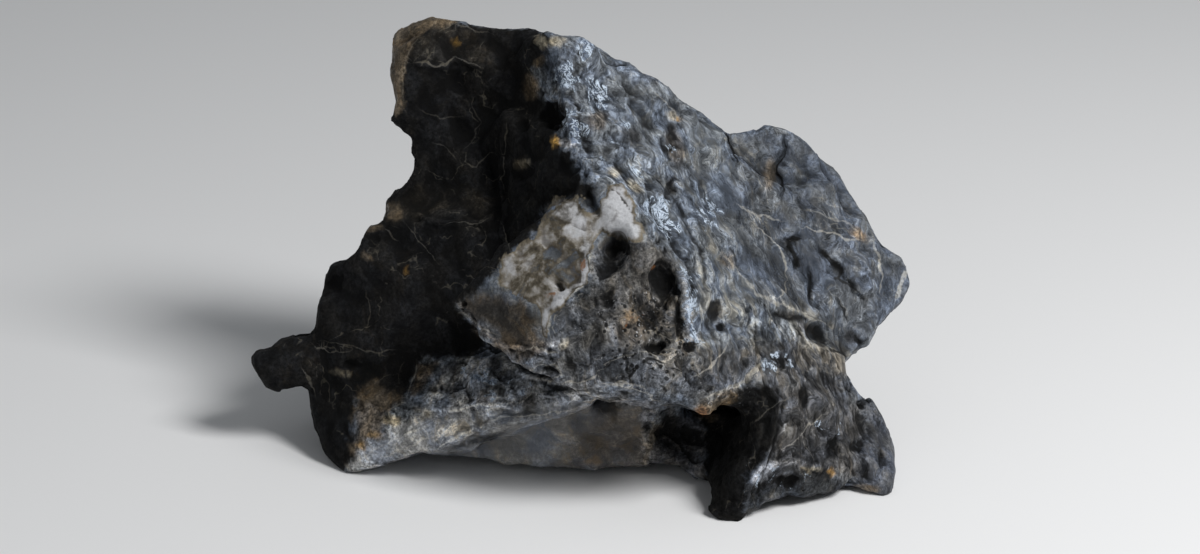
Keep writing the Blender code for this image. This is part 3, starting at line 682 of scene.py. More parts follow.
# Lines of each coat.
STREAKS = {
    Coat.VEIN: (
        Streak("slab vein", ((738, 204), (750, 211), (762, 216), (781, 220)), 2.4, 0.8),
        Streak("slab vein two", ((800, 226), (812, 230), (832, 233), (846, 238), (862, 241)), 2.0, 0.85),
        Streak("slab hair", ((752, 222), (766, 236), (780, 248), (786, 262), (786, 280)), 1.8, 0.9),
        Streak("lens edge", ((785, 282), (784, 292), (778, 298), (768, 298)), 2.0),
        Streak("slope vein", (
            (720, 252), (732, 264), (744, 278), (758, 294), (774, 302), (792, 308), (812, 318),
            (830, 326),
        ), 2.6, 0.6),
        Streak("tip vein", ((907, 266), (903, 282), (896, 300)), 3.6, 1.3),
        Streak("tip line", ((872, 240), (878, 256), (882, 275), (880, 292)), 2.4, 0.8),
        Streak("slab line", ((800, 208), (824, 216), (850, 224), (866, 240)), 2.0, 0.6),
        Streak("foot vein", ((778, 452), (790, 444), (804, 432), (816, 420), (826, 412)), 1.7, 0.6),
        Streak("foot vein two", ((752, 424), (764, 414), (780, 402), (794, 396)), 1.2, 0.28),
        Streak("foot vein three", ((800, 440), (808, 450), (815, 462)), 1.2, 0.3),
        Streak("sole vein", ((744, 380), (754, 372), (762, 362)), 3.2, 1.1),
        Streak("lip vein", ((700, 400), (716, 392), (736, 386), (752, 378)), 2.2, 0.8),
        Streak("wall vein", ((404, 222), (416, 236), (426, 250), (438, 262)), 1.2, 0.24),
        Streak("wall vein two", ((384, 228), (392, 236), (400, 242)), 1.2, 0.22),
        Streak("wall edge", ((507, 122), (505, 140), (504, 165), (502, 180), (506, 192)), 1.3, 0.32),
        Streak("wall edge two", ((500, 222), (506, 236), (510, 250)), 1.3, 0.28),
        Streak("wall loop", (
            (480, 140), (466, 150), (462, 164), (478, 166), (490, 150), (500, 156),
        ), 1.1, 0.2),
        # A painted highlight along the ledge's lit front edge.
        Streak("ledge edge", ((440, 224), (460, 222), (478, 224), (490, 216)), 1.2, 0.25),
        Streak("panel vein", (
            (414, 62), (424, 60), (434, 66), (446, 66), (452, 58), (468, 62), (482, 68),
        ), 1.8, 0.4),
        Streak("panel vein two", ((440, 30), (456, 24), (474, 30), (492, 34)), 1.3, 0.3),
        Streak("rim", ((404, 110), (402, 90), (404, 70), (410, 50), (420, 36)), 1.2, 0.33),
        Streak("quartz edge", (
            (592, 246), (588, 264), (584, 284), (566, 297), (550, 310), (546, 326), (550, 342),
        ), 3.4, 1.1),
        Streak("nose lip", ((460, 308), (470, 320), (486, 330), (500, 336)), 1.6, 0.5),
        Streak("nose layer", ((520, 352), (534, 346), (548, 352), (560, 354)), 2.0, 0.8),
        Streak("pocket rim", (
            (524, 374), (540, 366), (556, 366), (563, 376), (548, 380), (530, 378),
        ), 1.6, 0.75),
        Streak("underlip", ((560, 384), (580, 382), (598, 376), (604, 370)), 2.0, 0.8),
        Streak("underlip two", ((600, 384), (622, 386), (644, 392), (660, 402)), 1.8, 0.8),
        Streak("shelf edge", ((432, 452), (452, 440), (470, 432), (480, 426)), 2.2, 0.9),
        Streak("shelf line", ((444, 414), (468, 406), (500, 404), (520, 398)), 2.0, 0.7),
        Streak("shelf line two", ((480, 420), (510, 417), (540, 416), (576, 408)), 1.8, 0.8),
        Streak("strip line", ((352, 464), (380, 446), (410, 432), (440, 424)), 1.8, 0.5),
        Streak("strip line two", ((372, 462), (404, 448), (430, 438), (456, 426), (476, 424)), 1.6, 0.5),
        Streak("strip line three", (
            (470, 412), (500, 410), (520, 402), (531, 391), (530, 382),
        ), 1.8, 0.6),
        Streak("shelf facet", ((418, 364), (410, 384), (406, 400)), 1.4, 0.48),
        Streak("arm rim", ((300, 366), (308, 374), (312, 384), (316, 396)), 2.0, 0.36),
        Streak("arm line", ((312, 344), (330, 352), (350, 352)), 1.4, 0.3),
        Streak("skirt line", ((384, 412), (396, 406), (406, 400)), 1.5, 0.42),
        Streak("lip line", ((690, 378), (702, 373), (713, 365), (721, 354), (727, 345)), 2.4, 0.9),
        Streak("pit line", ((636, 352), (648, 352), (656, 354), (661, 360), (672, 364)), 1.6, 0.8),
        Streak("pit line two", ((640, 331), (654, 330), (664, 336), (676, 340)), 1.4, 0.7),
        Streak("edge line", ((594, 378), (602, 366), (616, 360), (640, 350)), 1.6, 0.6),
        Streak("under line", ((604, 386), (624, 382), (644, 386), (650, 394)), 1.6, 0.6),
        Streak("wall cloud", ((470, 100), (480, 120), (476, 136), (462, 150)), 1.2, 0.16),
        Streak("wall cloud two", ((420, 110), (440, 118), (460, 116)), 1.2, 0.16),
        Streak("wall cloud three", ((430, 140), (446, 146), (456, 160)), 1.2, 0.16),
        Streak("low wall line", ((320, 340), (350, 346), (372, 352), (400, 350)), 1.2, 0.24),
        Streak("low wall line two", ((366, 290), (370, 310), (366, 330)), 1.0, 0.18),
        Streak("slab strand", ((756, 172), (764, 190), (770, 206)), 1.1, 0.4),
        Streak("slab strand two", ((812, 196), (836, 206), (852, 214)), 1.1, 0.35),
        Streak("slab strand three", ((826, 286), (840, 300), (850, 318)), 1.1, 0.35),
        Streak("slope strand", ((650, 90), (668, 102), (676, 118), (690, 122)), 1.4, 0.5),
        Streak("slope strand two", ((636, 150), (640, 164), (634, 178)), 1.2, 0.45),
    ),
    # Painted shade: black lines in the cracks and slots, and shade lines under lips and edges.
    Coat.CRACK_SHADE: (
        Streak("strip shade", ((392, 440), (420, 426), (444, 418), (470, 416)), 1.2, 0.4),
        Streak("strip shade two", ((478, 424), (492, 417), (510, 414), (528, 412)), 2.2, 0.6),
        Streak("shelf shade line", ((436, 404), (446, 396), (448, 384), (456, 374)), 2.0, 0.6),
        Streak("shelf shade line two", ((478, 400), (486, 390), (488, 378), (496, 366)), 2.2, 0.6),
        Streak("slot", ((642, 362), (650, 358), (660, 360), (668, 364)), 2.6, 0.95),
        Streak("slot two", ((626, 379), (633, 373), (641, 364)), 2.6, 0.9),
        Streak("slot three", ((667, 367), (680, 371), (692, 374), (700, 376)), 1.8, 0.9),
        Streak("slot four", ((684, 368), (692, 370), (698, 374)), 1.6, 0.8),
        Streak("slot five", ((645, 370), (648, 368), (652, 371), (657, 373)), 2.0, 0.9),
        Streak("slot six", ((660, 384), (666, 390), (664, 398)), 2.0, 0.7),
        Streak("notch", ((726, 130), (729, 142), (733, 152), (736, 160), (741, 168)), 2.6, 0.95),
        Streak("slab crack", (
            (783, 135), (786, 148), (783, 158), (776, 166), (780, 178), (784, 190), (781, 200),
        ), 2.2, 0.9),
        Streak("slab split", ((784, 241), (790, 250), (797, 259), (798, 266), (792, 268)), 3.6, 0.95),
        Streak("split head", ((784, 241), (793, 238), (804, 239)), 2.6, 0.95),
        Streak("outer split", (
            (817, 250), (826, 256), (834, 264), (843, 271), (838, 279), (850, 286), (864, 297),
        ), 3.2, 0.9),
        Streak("inner split", ((808, 266), (811, 282), (809, 298), (816, 306)), 2.8, 0.85),
        Streak("lower split", ((837, 298), (845, 312), (849, 322)), 2.2, 0.7),
        Streak("under slab", ((772, 312), (786, 316), (800, 316), (810, 322)), 1.8, 0.6),
        Streak("slab foot", ((826, 346), (836, 352), (846, 357)), 2.4, 0.9),
        Streak("heel nick", ((852, 336), (858, 341), (861, 346)), 3.0, 0.9),
        Streak("slope crack", ((700, 178), (703, 192), (707, 206), (706, 218)), 1.6, 0.7),
        Streak("slope crack two", ((652, 176), (664, 186), (672, 200), (676, 210)), 1.8, 0.7),
        Streak("slope crack three", ((728, 244), (734, 254), (736, 266)), 1.8, 0.8),
        Streak("slope crack four", ((744, 306), (750, 318), (748, 326)), 2.0, 0.7),
        Streak("ridge shade", ((674, 286), (676, 310), (678, 338)), 3.0, 0.8),
        Streak("lip shade", ((530, 380), (560, 390), (600, 392), (620, 396)), 2.6, 0.7),
        Streak("foot crack", ((800, 384), (806, 394), (804, 408)), 2.2, 0.8),
    ),
    Coat.TAN: (
        Streak("recess tan", ((662, 424), (650, 440), (644, 466)), 4.0, 0.6),
        Streak("slope tan", (
            (700, 240), (722, 258), (745, 280), (770, 298), (800, 312), (840, 328),
        ), 5.0, 0.5),
        Streak("scoop line", ((620, 322), (636, 318), (654, 322), (672, 326)), 3.0, 0.5),
        Streak("nose stain", ((500, 284), (504, 268), (512, 256)), 6.0, 0.7),
        Streak("nose stain two", ((482, 298), (496, 290), (508, 286)), 6.0, 0.6),
    ),
    Coat.RUST: (
        Streak("nose rust", ((584, 262), (582, 270)), 3.5, 1.1),
        Streak("pit rust", ((544, 298), (556, 294)), 3.0, 0.8),
        Streak("scoop rust", ((622, 330), (632, 318), (646, 312)), 2.0, 0.65),
        Streak("eye rust", ((648, 272), (654, 266)), 3.0, 0.8),
        Streak("quartz root rust", ((592, 196), (600, 192)), 3.0, 0.8),
    ),
}

# Where the stone is worn smoother, or its relief is carved one by one.
CALM_ZONES = (
    Calm("recess", 0.15, (
        (430, 452), (470, 434), (520, 420), (600, 402), (646, 404), (640, 470), (500, 472),
    )),
    Calm("dark side", 0.45, DARK_SIDE),
    Calm("slab", 0.44, (
        (740, 200), (730, 135), (800, 130), (920, 250), (900, 310), (850, 360), (760, 300),
    )),
    Calm("heel", 0.45, ((866, 420), (900, 420), (904, 500), (866, 500))),
    Calm("slope", 0.58, (
        (590, 60), (660, 80), (730, 120), (760, 300), (740, 380), (700, 350), (690, 260), (640, 180),
    )),
    Calm("slope's right", 0.42, (
        (684, 104), (735, 135), (756, 230), (760, 300), (740, 330), (712, 300), (700, 220), (682, 150),
    )),
    Calm("front strip", 0.4, ((344, 472), (360, 450), (420, 414), (600, 396), (592, 408), (430, 452))),
    Calm("nose quartz", 0.35, (
        (458, 304), (501, 258), (540, 225), (548, 200), (606, 182), (640, 236), (590, 256), (560, 345),
        (500, 345),
    )),
)

# Cracks and grooves, and the thin ribs along the edges.
CARVES = (
    Carve("notch", ((727, 134), (731, 147), (736, 160)), 3.5, 2.2),
    Carve("slab crack", (
        (783, 135), (786, 148), (781, 158), (776, 166), (780, 178), (784, 190), (781, 200),
    ), 2.8, 1.2),
    Carve("slab split", ((780, 240), (787, 249), (793, 257), (797, 268)), 3.0, 1.2),
    Carve("slab split's head", ((784, 238), (801, 236)), 2.6, 1.0),
    Carve("outer split", (
        (820, 249), (828, 256), (833, 263), (843, 270), (846, 278), (853, 284), (855, 292), (864, 299),
    ), 2.4, 0.8),
    Carve("inner split", ((808, 268), (812, 284), (810, 300), (819, 309)), 2.6, 1.0),
    Carve("lower split", ((837, 298), (845, 312), (848, 320)), 2.0, 0.5),
    Carve("under slab", ((772, 312), (786, 317), (803, 319)), 3.5, 0.8),
    Carve("slope groove", ((700, 182), (703, 196), (706, 208)), 2.5, 1.2),
    Carve("long groove", ((676, 200), (688, 226), (698, 244), (704, 262), (706, 290)), 4.0, 0.8),
    Carve("ridge", (
        (560, 60), (566, 100), (574, 140), (592, 176), (618, 186), (640, 214), (662, 240), (680, 268),
        (686, 300), (688, 340),
    ), 5.0, -0.9),
    Carve("wall edge", (
        (505, 120), (503, 150), (502, 190), (506, 215), (501, 228), (508, 254),
    ), 3.0, -0.9),
    Carve("ledge edge", ((408, 213), (440, 223), (480, 223), (497, 212)), 3.0, -0.9),
    Carve("panel edge", ((412, 62), (428, 66), (445, 68), (452, 60), (466, 62), (482, 68)), 3.0, -0.8),
    Carve("nose lip", (
        (458, 305), (468, 318), (485, 334), (500, 342), (512, 356), (520, 372), (545, 380), (570, 384),
        (600, 384), (640, 388),
    ), 3.0, -0.7),
    Carve("shelf lip", (
        (430, 452), (450, 441), (480, 428), (520, 419), (560, 413), (590, 404),
    ), 3.0, -1.2),
    Carve("second lip", ((440, 414), (480, 404), (520, 408), (540, 396), (590, 390)), 3.0, -0.9),
    Carve("foot ridge", (
        (770, 388), (778, 402), (772, 430), (764, 456), (750, 482), (744, 500),
    ), 4.0, -1.6),
    Carve("foot fold", ((756, 470), (780, 462), (800, 462), (822, 470)), 4.0, -0.6),
    Carve("quartz edge", (
        (590, 244), (588, 262), (584, 284), (562, 298), (548, 312), (545, 330), (549, 344),
    ), 4.0, -0.5),
    Carve("quartz root", ((584, 190), (592, 200), (596, 214)), 4.5, 1.8),
    Carve("strip", ((677, 286), (680, 312), (681, 340)), 4.5, 2.6),
    Carve("layer one", ((470, 330), (500, 344), (530, 350), (560, 356)), 2.5, -0.9),
)

# Pits and shallow hollows.
DENTS = (
    Dent("wall hollow", (551, 115), (12, 14), 4.0),
    Dent("wall nook", (520, 125), (10, 8), 1.8),
    Dent("wall pocket", (520, 172), (13, 9), 1.8),
    Dent("brow hollow", (568, 168), (12, 12), 1.4, -40),
    Dent("quartz pit", (558, 283), (8, 6), 3.5, -15),
    Dent("tip pit", (463, 304), (3.5, 6), 3.0),
    Dent("slope hollow", (671, 140), (12, 18), 1.3, -10),
    Dent("slope nick", (671, 187), (6, 14), 1.2, -20),
    Dent("groove hollow", (716, 310), (9, 13), 1.7),
    Dent("groove foot", (720, 328), (5, 5), 1.1),
    Dent("low nick", (656, 347), (11, 6), 2.6, 10),
    Dent("low nick two", (690, 346), (8, 7), 2.0),
    Dent("low nick three", (608, 300), (8, 12), 0.9),
    Dent("lip pocket", (551, 371), (11, 5), 2.4, -10),
    Dent("tan hollow", (776, 172), (8, 16), 1.6),
    Dent("slab's eye", (817, 332), (14, 10), 0.9, -30),
    Dent("slab's heel", (854, 338), (9, 9), 0.5, 30),
    Dent("slab's nick", (748, 309), (4, 4), 0.7),
    Dent("spike notch", (864, 405), (7, 6), 2.4),
    Dent("foot hollow", (834, 448), (10, 14), 1.2),
    Dent("foot hollow two", (804, 394), (6, 14), 1.0),
    Dent("foot hollow three", (856, 446), (7, 10), 1.4),
    Dent("heel hollow", (882, 460), (4, 10), 0.9),
    Dent("lower hollow", (790, 482), (16, 7), 1.8),
    Dent("arm hollow", (351, 364), (10, 6), 1.6),
    Dent("rim hollow", (372, 240), (9, 8), 1.4),
    Dent("rim hollow two", (335, 282), (9, 10), 1.2),
    Dent("recess hollow", (608, 408), (18, 12), 1.4),
)


@dataclass(frozen=True)
class Viewer:
    """Where the stone is looked at from, and what of it is seen."""

    target: Triple = (6.61 * MM, -1.04 * MM, 60.22 * MM)
    distance: float = 1111 * MM
    pitch: float = math.radians(20)
    lens: float = 100.0
    sensor: float = 36.0
    nearest: float = 10 * MM
    picture: Point = (1200.0, 554.0)
    lift: float = 1.2 * MM

    def back(self) -> Vector:
        """Returns the direction from the stone to the eye."""
        return Vector((0.0, -math.cos(self.pitch), math.sin(self.pitch)))

    def eye(self) -> Vector:
        """Returns the eye's place."""
        return Vector(self.target) + self.back() * self.distance

    def picture_of(self, points: np.ndarray) -> np.ndarray:
        """Projects points to the picture.

        Args:
            points: places, one row each.

        Returns:
            across and down in picture points, one row each.
        """
        back = np.array(self.back())
        upward = np.array((0.0, math.sin(self.pitch), math.cos(self.pitch)))
        apart = points - np.array(self.eye())
        depth = -(apart @ back)
        focal = self.picture[0] * self.lens / self.sensor
        across = self.picture[0] / 2 + focal * apart[:, 0] / depth
        down = self.picture[1] / 2 - focal * (apart @ upward) / depth
        return np.column_stack((across, down))

    def sees(self, mesh: bpy.types.Mesh, least: float, most: float) -> np.ndarray:
        """Finds how much of the surface round each point of a mesh the eye sees.

        Args:
            mesh: the mesh.
            least: the seen part of the surroundings up to which a point counts as hidden.
            most: the seen part from which it counts as seen.

        Returns:
            one for a seen point and nought for a hidden one, with a soft change between.
        """
        points, normals = surface_of(mesh)
        tree = tree_of(mesh)
        eye = self.eye()
        seen = np.zeros(len(points))
        facing = ((np.array(eye) - points) * normals).sum(1) > 0
        for index in np.flatnonzero(facing):
            start = Vector(points[index]) + Vector(normals[index]) * self.lift
            toward = (eye - start).normalized()
            seen[index] = tree.ray_cast(start, toward)[0] is None
        return smooth_step(least, most, neighbour_mean(mesh, seen, 3))

    def make_camera(self) -> bpy.types.Object:
        """Makes the camera.

        Returns:
            the camera, set as the scene's own.
        """
        data = bpy.data.cameras.new("viewer")
        data.lens = self.lens
        data.sensor_width = self.sensor
        data.clip_start = self.nearest
        camera = bpy.data.objects.new("viewer", data)
        camera.location = self.eye()
        camera.rotation_mode = "QUATERNION"
        camera.rotation_quaternion = (-self.back()).to_track_quat("-Z", "Y")
        bpy.context.scene.collection.objects.link(camera)
        bpy.context.scene.camera = camera
        return camera


def settle(obj: bpy.types.Object) -> None:
    """Applies an object's modifiers to its mesh.

    Args:
        obj: the object.
    """
    graph = bpy.context.evaluated_depsgraph_get()
    mesh = bpy.data.meshes.new_from_object(obj.evaluated_get(graph))
    obj.modifiers.clear()
    old, obj.data = obj.data, mesh
    bpy.data.meshes.remove(old)


def surface_of(mesh: bpy.types.Mesh) -> tuple[np.ndarray, np.ndarray]:
    """Reads a mesh's surface.

    Args:
        mesh: the mesh.

    Returns:
        its points and the surface's direction at each, one row each.
    """
    points = np.empty(len(mesh.vertices) * 3)
    mesh.vertices.foreach_get("co", points)
    normals = np.empty(len(mesh.vertices) * 3)
    mesh.vertex_normals.foreach_get("vector", normals)
    return points.reshape(-1, 3), normals.reshape(-1, 3)


def place_points(mesh: bpy.types.Mesh, points: np.ndarray) -> None:
    """Puts the mesh's points at the given places."""
    mesh.vertices.foreach_set("co", points.ravel())
    mesh.update()


def neighbour_mean(mesh: bpy.types.Mesh, values: np.ndarray, rounds: int) -> np.ndarray:
    """Averages values over each point's neighbours.

    Args:
        mesh: the mesh that says which points are neighbours.
        values: one row or number for each point.
        rounds: how many times.

    Returns:
        the averaged values.
    """
    ends = np.empty(len(mesh.edges) * 2, int)
    mesh.edges.foreach_get("vertices", ends)
    ends = ends.reshape(-1, 2)
    rows = values.reshape(len(values), -1).astype(float)
    count = np.bincount(ends.ravel(), minlength=len(rows))[:, None] + 1.0
    for _ in range(rounds):
        total = rows.copy()
        for column in range(rows.shape[1]):
            total[:, column] += np.bincount(ends[:, 0], rows[ends[:, 1], column], len(rows))
            total[:, column] += np.bincount(ends[:, 1], rows[ends[:, 0], column], len(rows))
        rows = total / count
    return rows.reshape(values.shape)


def tree_of(mesh: bpy.types.Mesh) -> BVHTree:
    """Makes a search tree of a mesh's faces.

    Args:
        mesh: the mesh.

    Returns:
        the tree.
    """
    work = bmesh.new()
    work.from_mesh(mesh)
    tree = BVHTree.FromBMesh(work)
    work.free()
    return tree


def noise_at(points: np.ndarray, length: float) -> np.ndarray:
    """Returns, for each point, a smooth noise from -1 to 1 with forms of this length."""
    return np.array([noise.noise(Vector(point) / length) for point in points])


def sway_at(points: np.ndarray, length: float) -> np.ndarray:
    """Returns, for each point, a smooth push in two directions with forms of this length."""
    return np.array([noise.noise_vector(Vector(point) / length)[:2] for point in points])


def write_value(mesh: bpy.types.Mesh, name: str, values: np.ndarray) -> None:
    """Stores a number for each point under this name."""
    layer = mesh.attributes.new(name, "FLOAT", "POINT")
    layer.data.foreach_set("value", values.astype(np.float32))


def write_colour(mesh: bpy.types.Mesh, name: str, colours: np.ndarray) -> None:
    """Stores a colour for each point of a mesh.

    Args:
        mesh: the mesh.
        name: the name to store it under.
        colours: red, green and blue, one row each.
    """
    layer = mesh.attributes.new(name, "FLOAT_COLOR", "POINT")
    full = np.column_stack((colours, np.ones(len(colours))))
    layer.data.foreach_set("color", full.astype(np.float32).ravel())


@dataclass(frozen=True)
class Relief:
    """The broken surface: how long its forms are, and how high.

    Lengths and the bend are in metres, and rises, tops and how far it is sunk in millimetres.
    """

    fibre_way: Vector = field(default_factory=lambda: Vector((0.3, -0.72, -0.63)).normalized())
    fibre_stretch: float = 2.2
    bend_length: float = 9 * MM
    bend: float = 1.5 * MM
    chips: tuple[Point, ...] = ((9 * MM, 0.06), (3.6 * MM, 0.04))
    chip_mixing: float = 3.7
    swell_length: float = 16 * MM
    swell_rise: float = 0.4
    ridge_length: float = 5.0 * MM
    ridge_top: float = 0.45
    sharp_length: float = 2.0 * MM
    sharp_top: float = 0.40
    sharp_from: Triple = (5.0, 9.0, 2.0)
    edge_rise: float = 0.2
    fine_length: float = 1.1 * MM
    fine_rise: float = 0.12
    sunk: float = 0.2

    def along_fibre(self, place: Vector) -> Vector:
        """Returns the place squeezed along the fibres, so that what is read there is drawn out."""
        along = place.dot(self.fibre_way) * (1 - 1 / self.fibre_stretch)
        return place - self.fibre_way * along

    def chip(self, place: Vector, size: float) -> float:
        """Works out the height of flat chips, each tilted its own way.

        Args:
            place: the place on the surface.
            size: how wide a chip is.

        Returns:
            the height as a length.
        """
        scaled = place / size
        centre = noise.voronoi(scaled)[1][0]
        return size * (scaled - centre).dot(noise.cell_vector(centre * self.chip_mixing))

    def height(self, place: Vector) -> float:
        """Works out the height of the broken surface above the plain form.

        Args:
            place: the place on the plain form.

        Returns:
            the height in metres.
        """
        drawn = self.along_fibre(place)
        bent = drawn + noise.noise_vector(place / self.bend_length) * self.bend
        chips = sum(rise * self.chip(bent, size) for size, rise in self.chips)
        swell = noise.noise(place / self.swell_length) * self.swell_rise
        ridge = (self.ridge_top - abs(noise.noise(bent / self.ridge_length))) * self.edge_rise
        sharp_place = drawn / self.sharp_length + Vector(self.sharp_from)
        sharp = (self.sharp_top - abs(noise.noise(sharp_place))) * self.edge_rise
        fine = noise.noise(drawn / self.fine_length) * self.fine_rise
        return (swell + ridge + sharp + fine - self.sunk) * MM + chips


@dataclass
class StoneBody:
    """The stone's mesh: the carried form with its fine relief."""

    node: str = "stone"
    piece: str = "dragon_stone"
    skin: float = 0.78 * MM
    merge: float = 0.01 * MM
    triangles: int = 196000
    foot: Point = (0.2 * MM, 2.0 * MM)
    relief: Relief = field(default_factory=Relief)

    def carried_form(self, source: bpy.types.Object) -> bpy.types.Object:
        """Makes a merged copy of the carried solid with an even, fine skin.

        Args:
            source: the solid's object.

        Returns:
            the new object.
        """
        work = bmesh.new()
        work.from_mesh(source.data)
        bmesh.ops.remove_doubles(work, verts=work.verts, dist=self.merge)
        mesh = bpy.data.meshes.new(self.piece)
        work.to_mesh(mesh)
        work.free()
        stone = bpy.data.objects.new(self.piece, mesh)
        bpy.context.scene.collection.objects.link(stone)
        remesh = stone.modifiers.new("Skin", "REMESH")
        remesh.mode = "VOXEL"
        remesh.voxel_size = self.skin
        settle(stone)
        return stone

    def roughen(self, stone: bpy.types.Object, kept: np.ndarray) -> None:
        """Moves each point along its direction by the broken surface's height.

        Args:
            stone: the object whose mesh is moved.
            kept: for each point, the share of the height that is kept.
        """
        points, normals = surface_of(stone.data)
        height = np.array([self.relief.height(Vector(point)) for point in points])
        above_foot = smooth_step(*self.foot, points[:, 2])
        points += normals * (height * kept * above_foot)[:, None]
        place_points(stone.data, points)

    def thin_out(self, stone: bpy.types.Object) -> None:
        """Brings the mesh down to its count of triangles, keeping its sharp forms.

        Args:
            stone: the object whose mesh is thinned.
        """
        stone.data.calc_loop_triangles()
        ratio = self.triangles / len(stone.data.loop_triangles)
        if ratio < 1:
            thin = stone.modifiers.new("Thin", "DECIMATE")
            thin.ratio = ratio
            settle(stone)


@dataclass
class StoneForms:
    """The named grooves, ribs and hollows of the front, which the viewer sees."""

    viewer: Viewer
    facing: Point = (0.0, 0.25)
    seen: Point = (0.2, 0.8)
    smoothing: int = 3
    sway_length: float = 3 * MM
    sway: float = 2.5

    def calm(self, stone: bpy.types.Object) -> np.ndarray:
        """Works out where the stone is worn.

        Args:
            stone: the stone's object.

        Returns:
            the share of the broken relief that each point keeps.
        """
        points, normals = surface_of(stone.data)
        places = self.viewer.picture_of(points)
        facing = smooth_step(*self.facing, normals @ np.array(self.viewer.back()))
        kept = np.ones(len(points))
        for calm in CALM_ZONES:
            kept = np.minimum(kept, 1 - (1 - calm.share) * (calm.cover(places) * facing))
        return kept

    def apply(self, stone: bpy.types.Object) -> None:
        """Carves the forms into the stone's mesh.

        Args:
            stone: the stone's object.
        """
        points, normals = surface_of(stone.data)
        soft = neighbour_mean(stone.data, normals, self.smoothing)
        soft /= np.linalg.norm(soft, axis=1)[:, None]
        seen = self.viewer.sees(stone.data, *self.seen)
        sway = sway_at(points, self.sway_length)
        places = self.viewer.picture_of(points) + sway * self.sway
        depth = np.zeros(len(points))
        for form in CARVES + DENTS:
            depth += form.sink(places, sway[:, 0])
        points -= soft * (depth * seen)[:, None]
        place_points(stone.data, points)


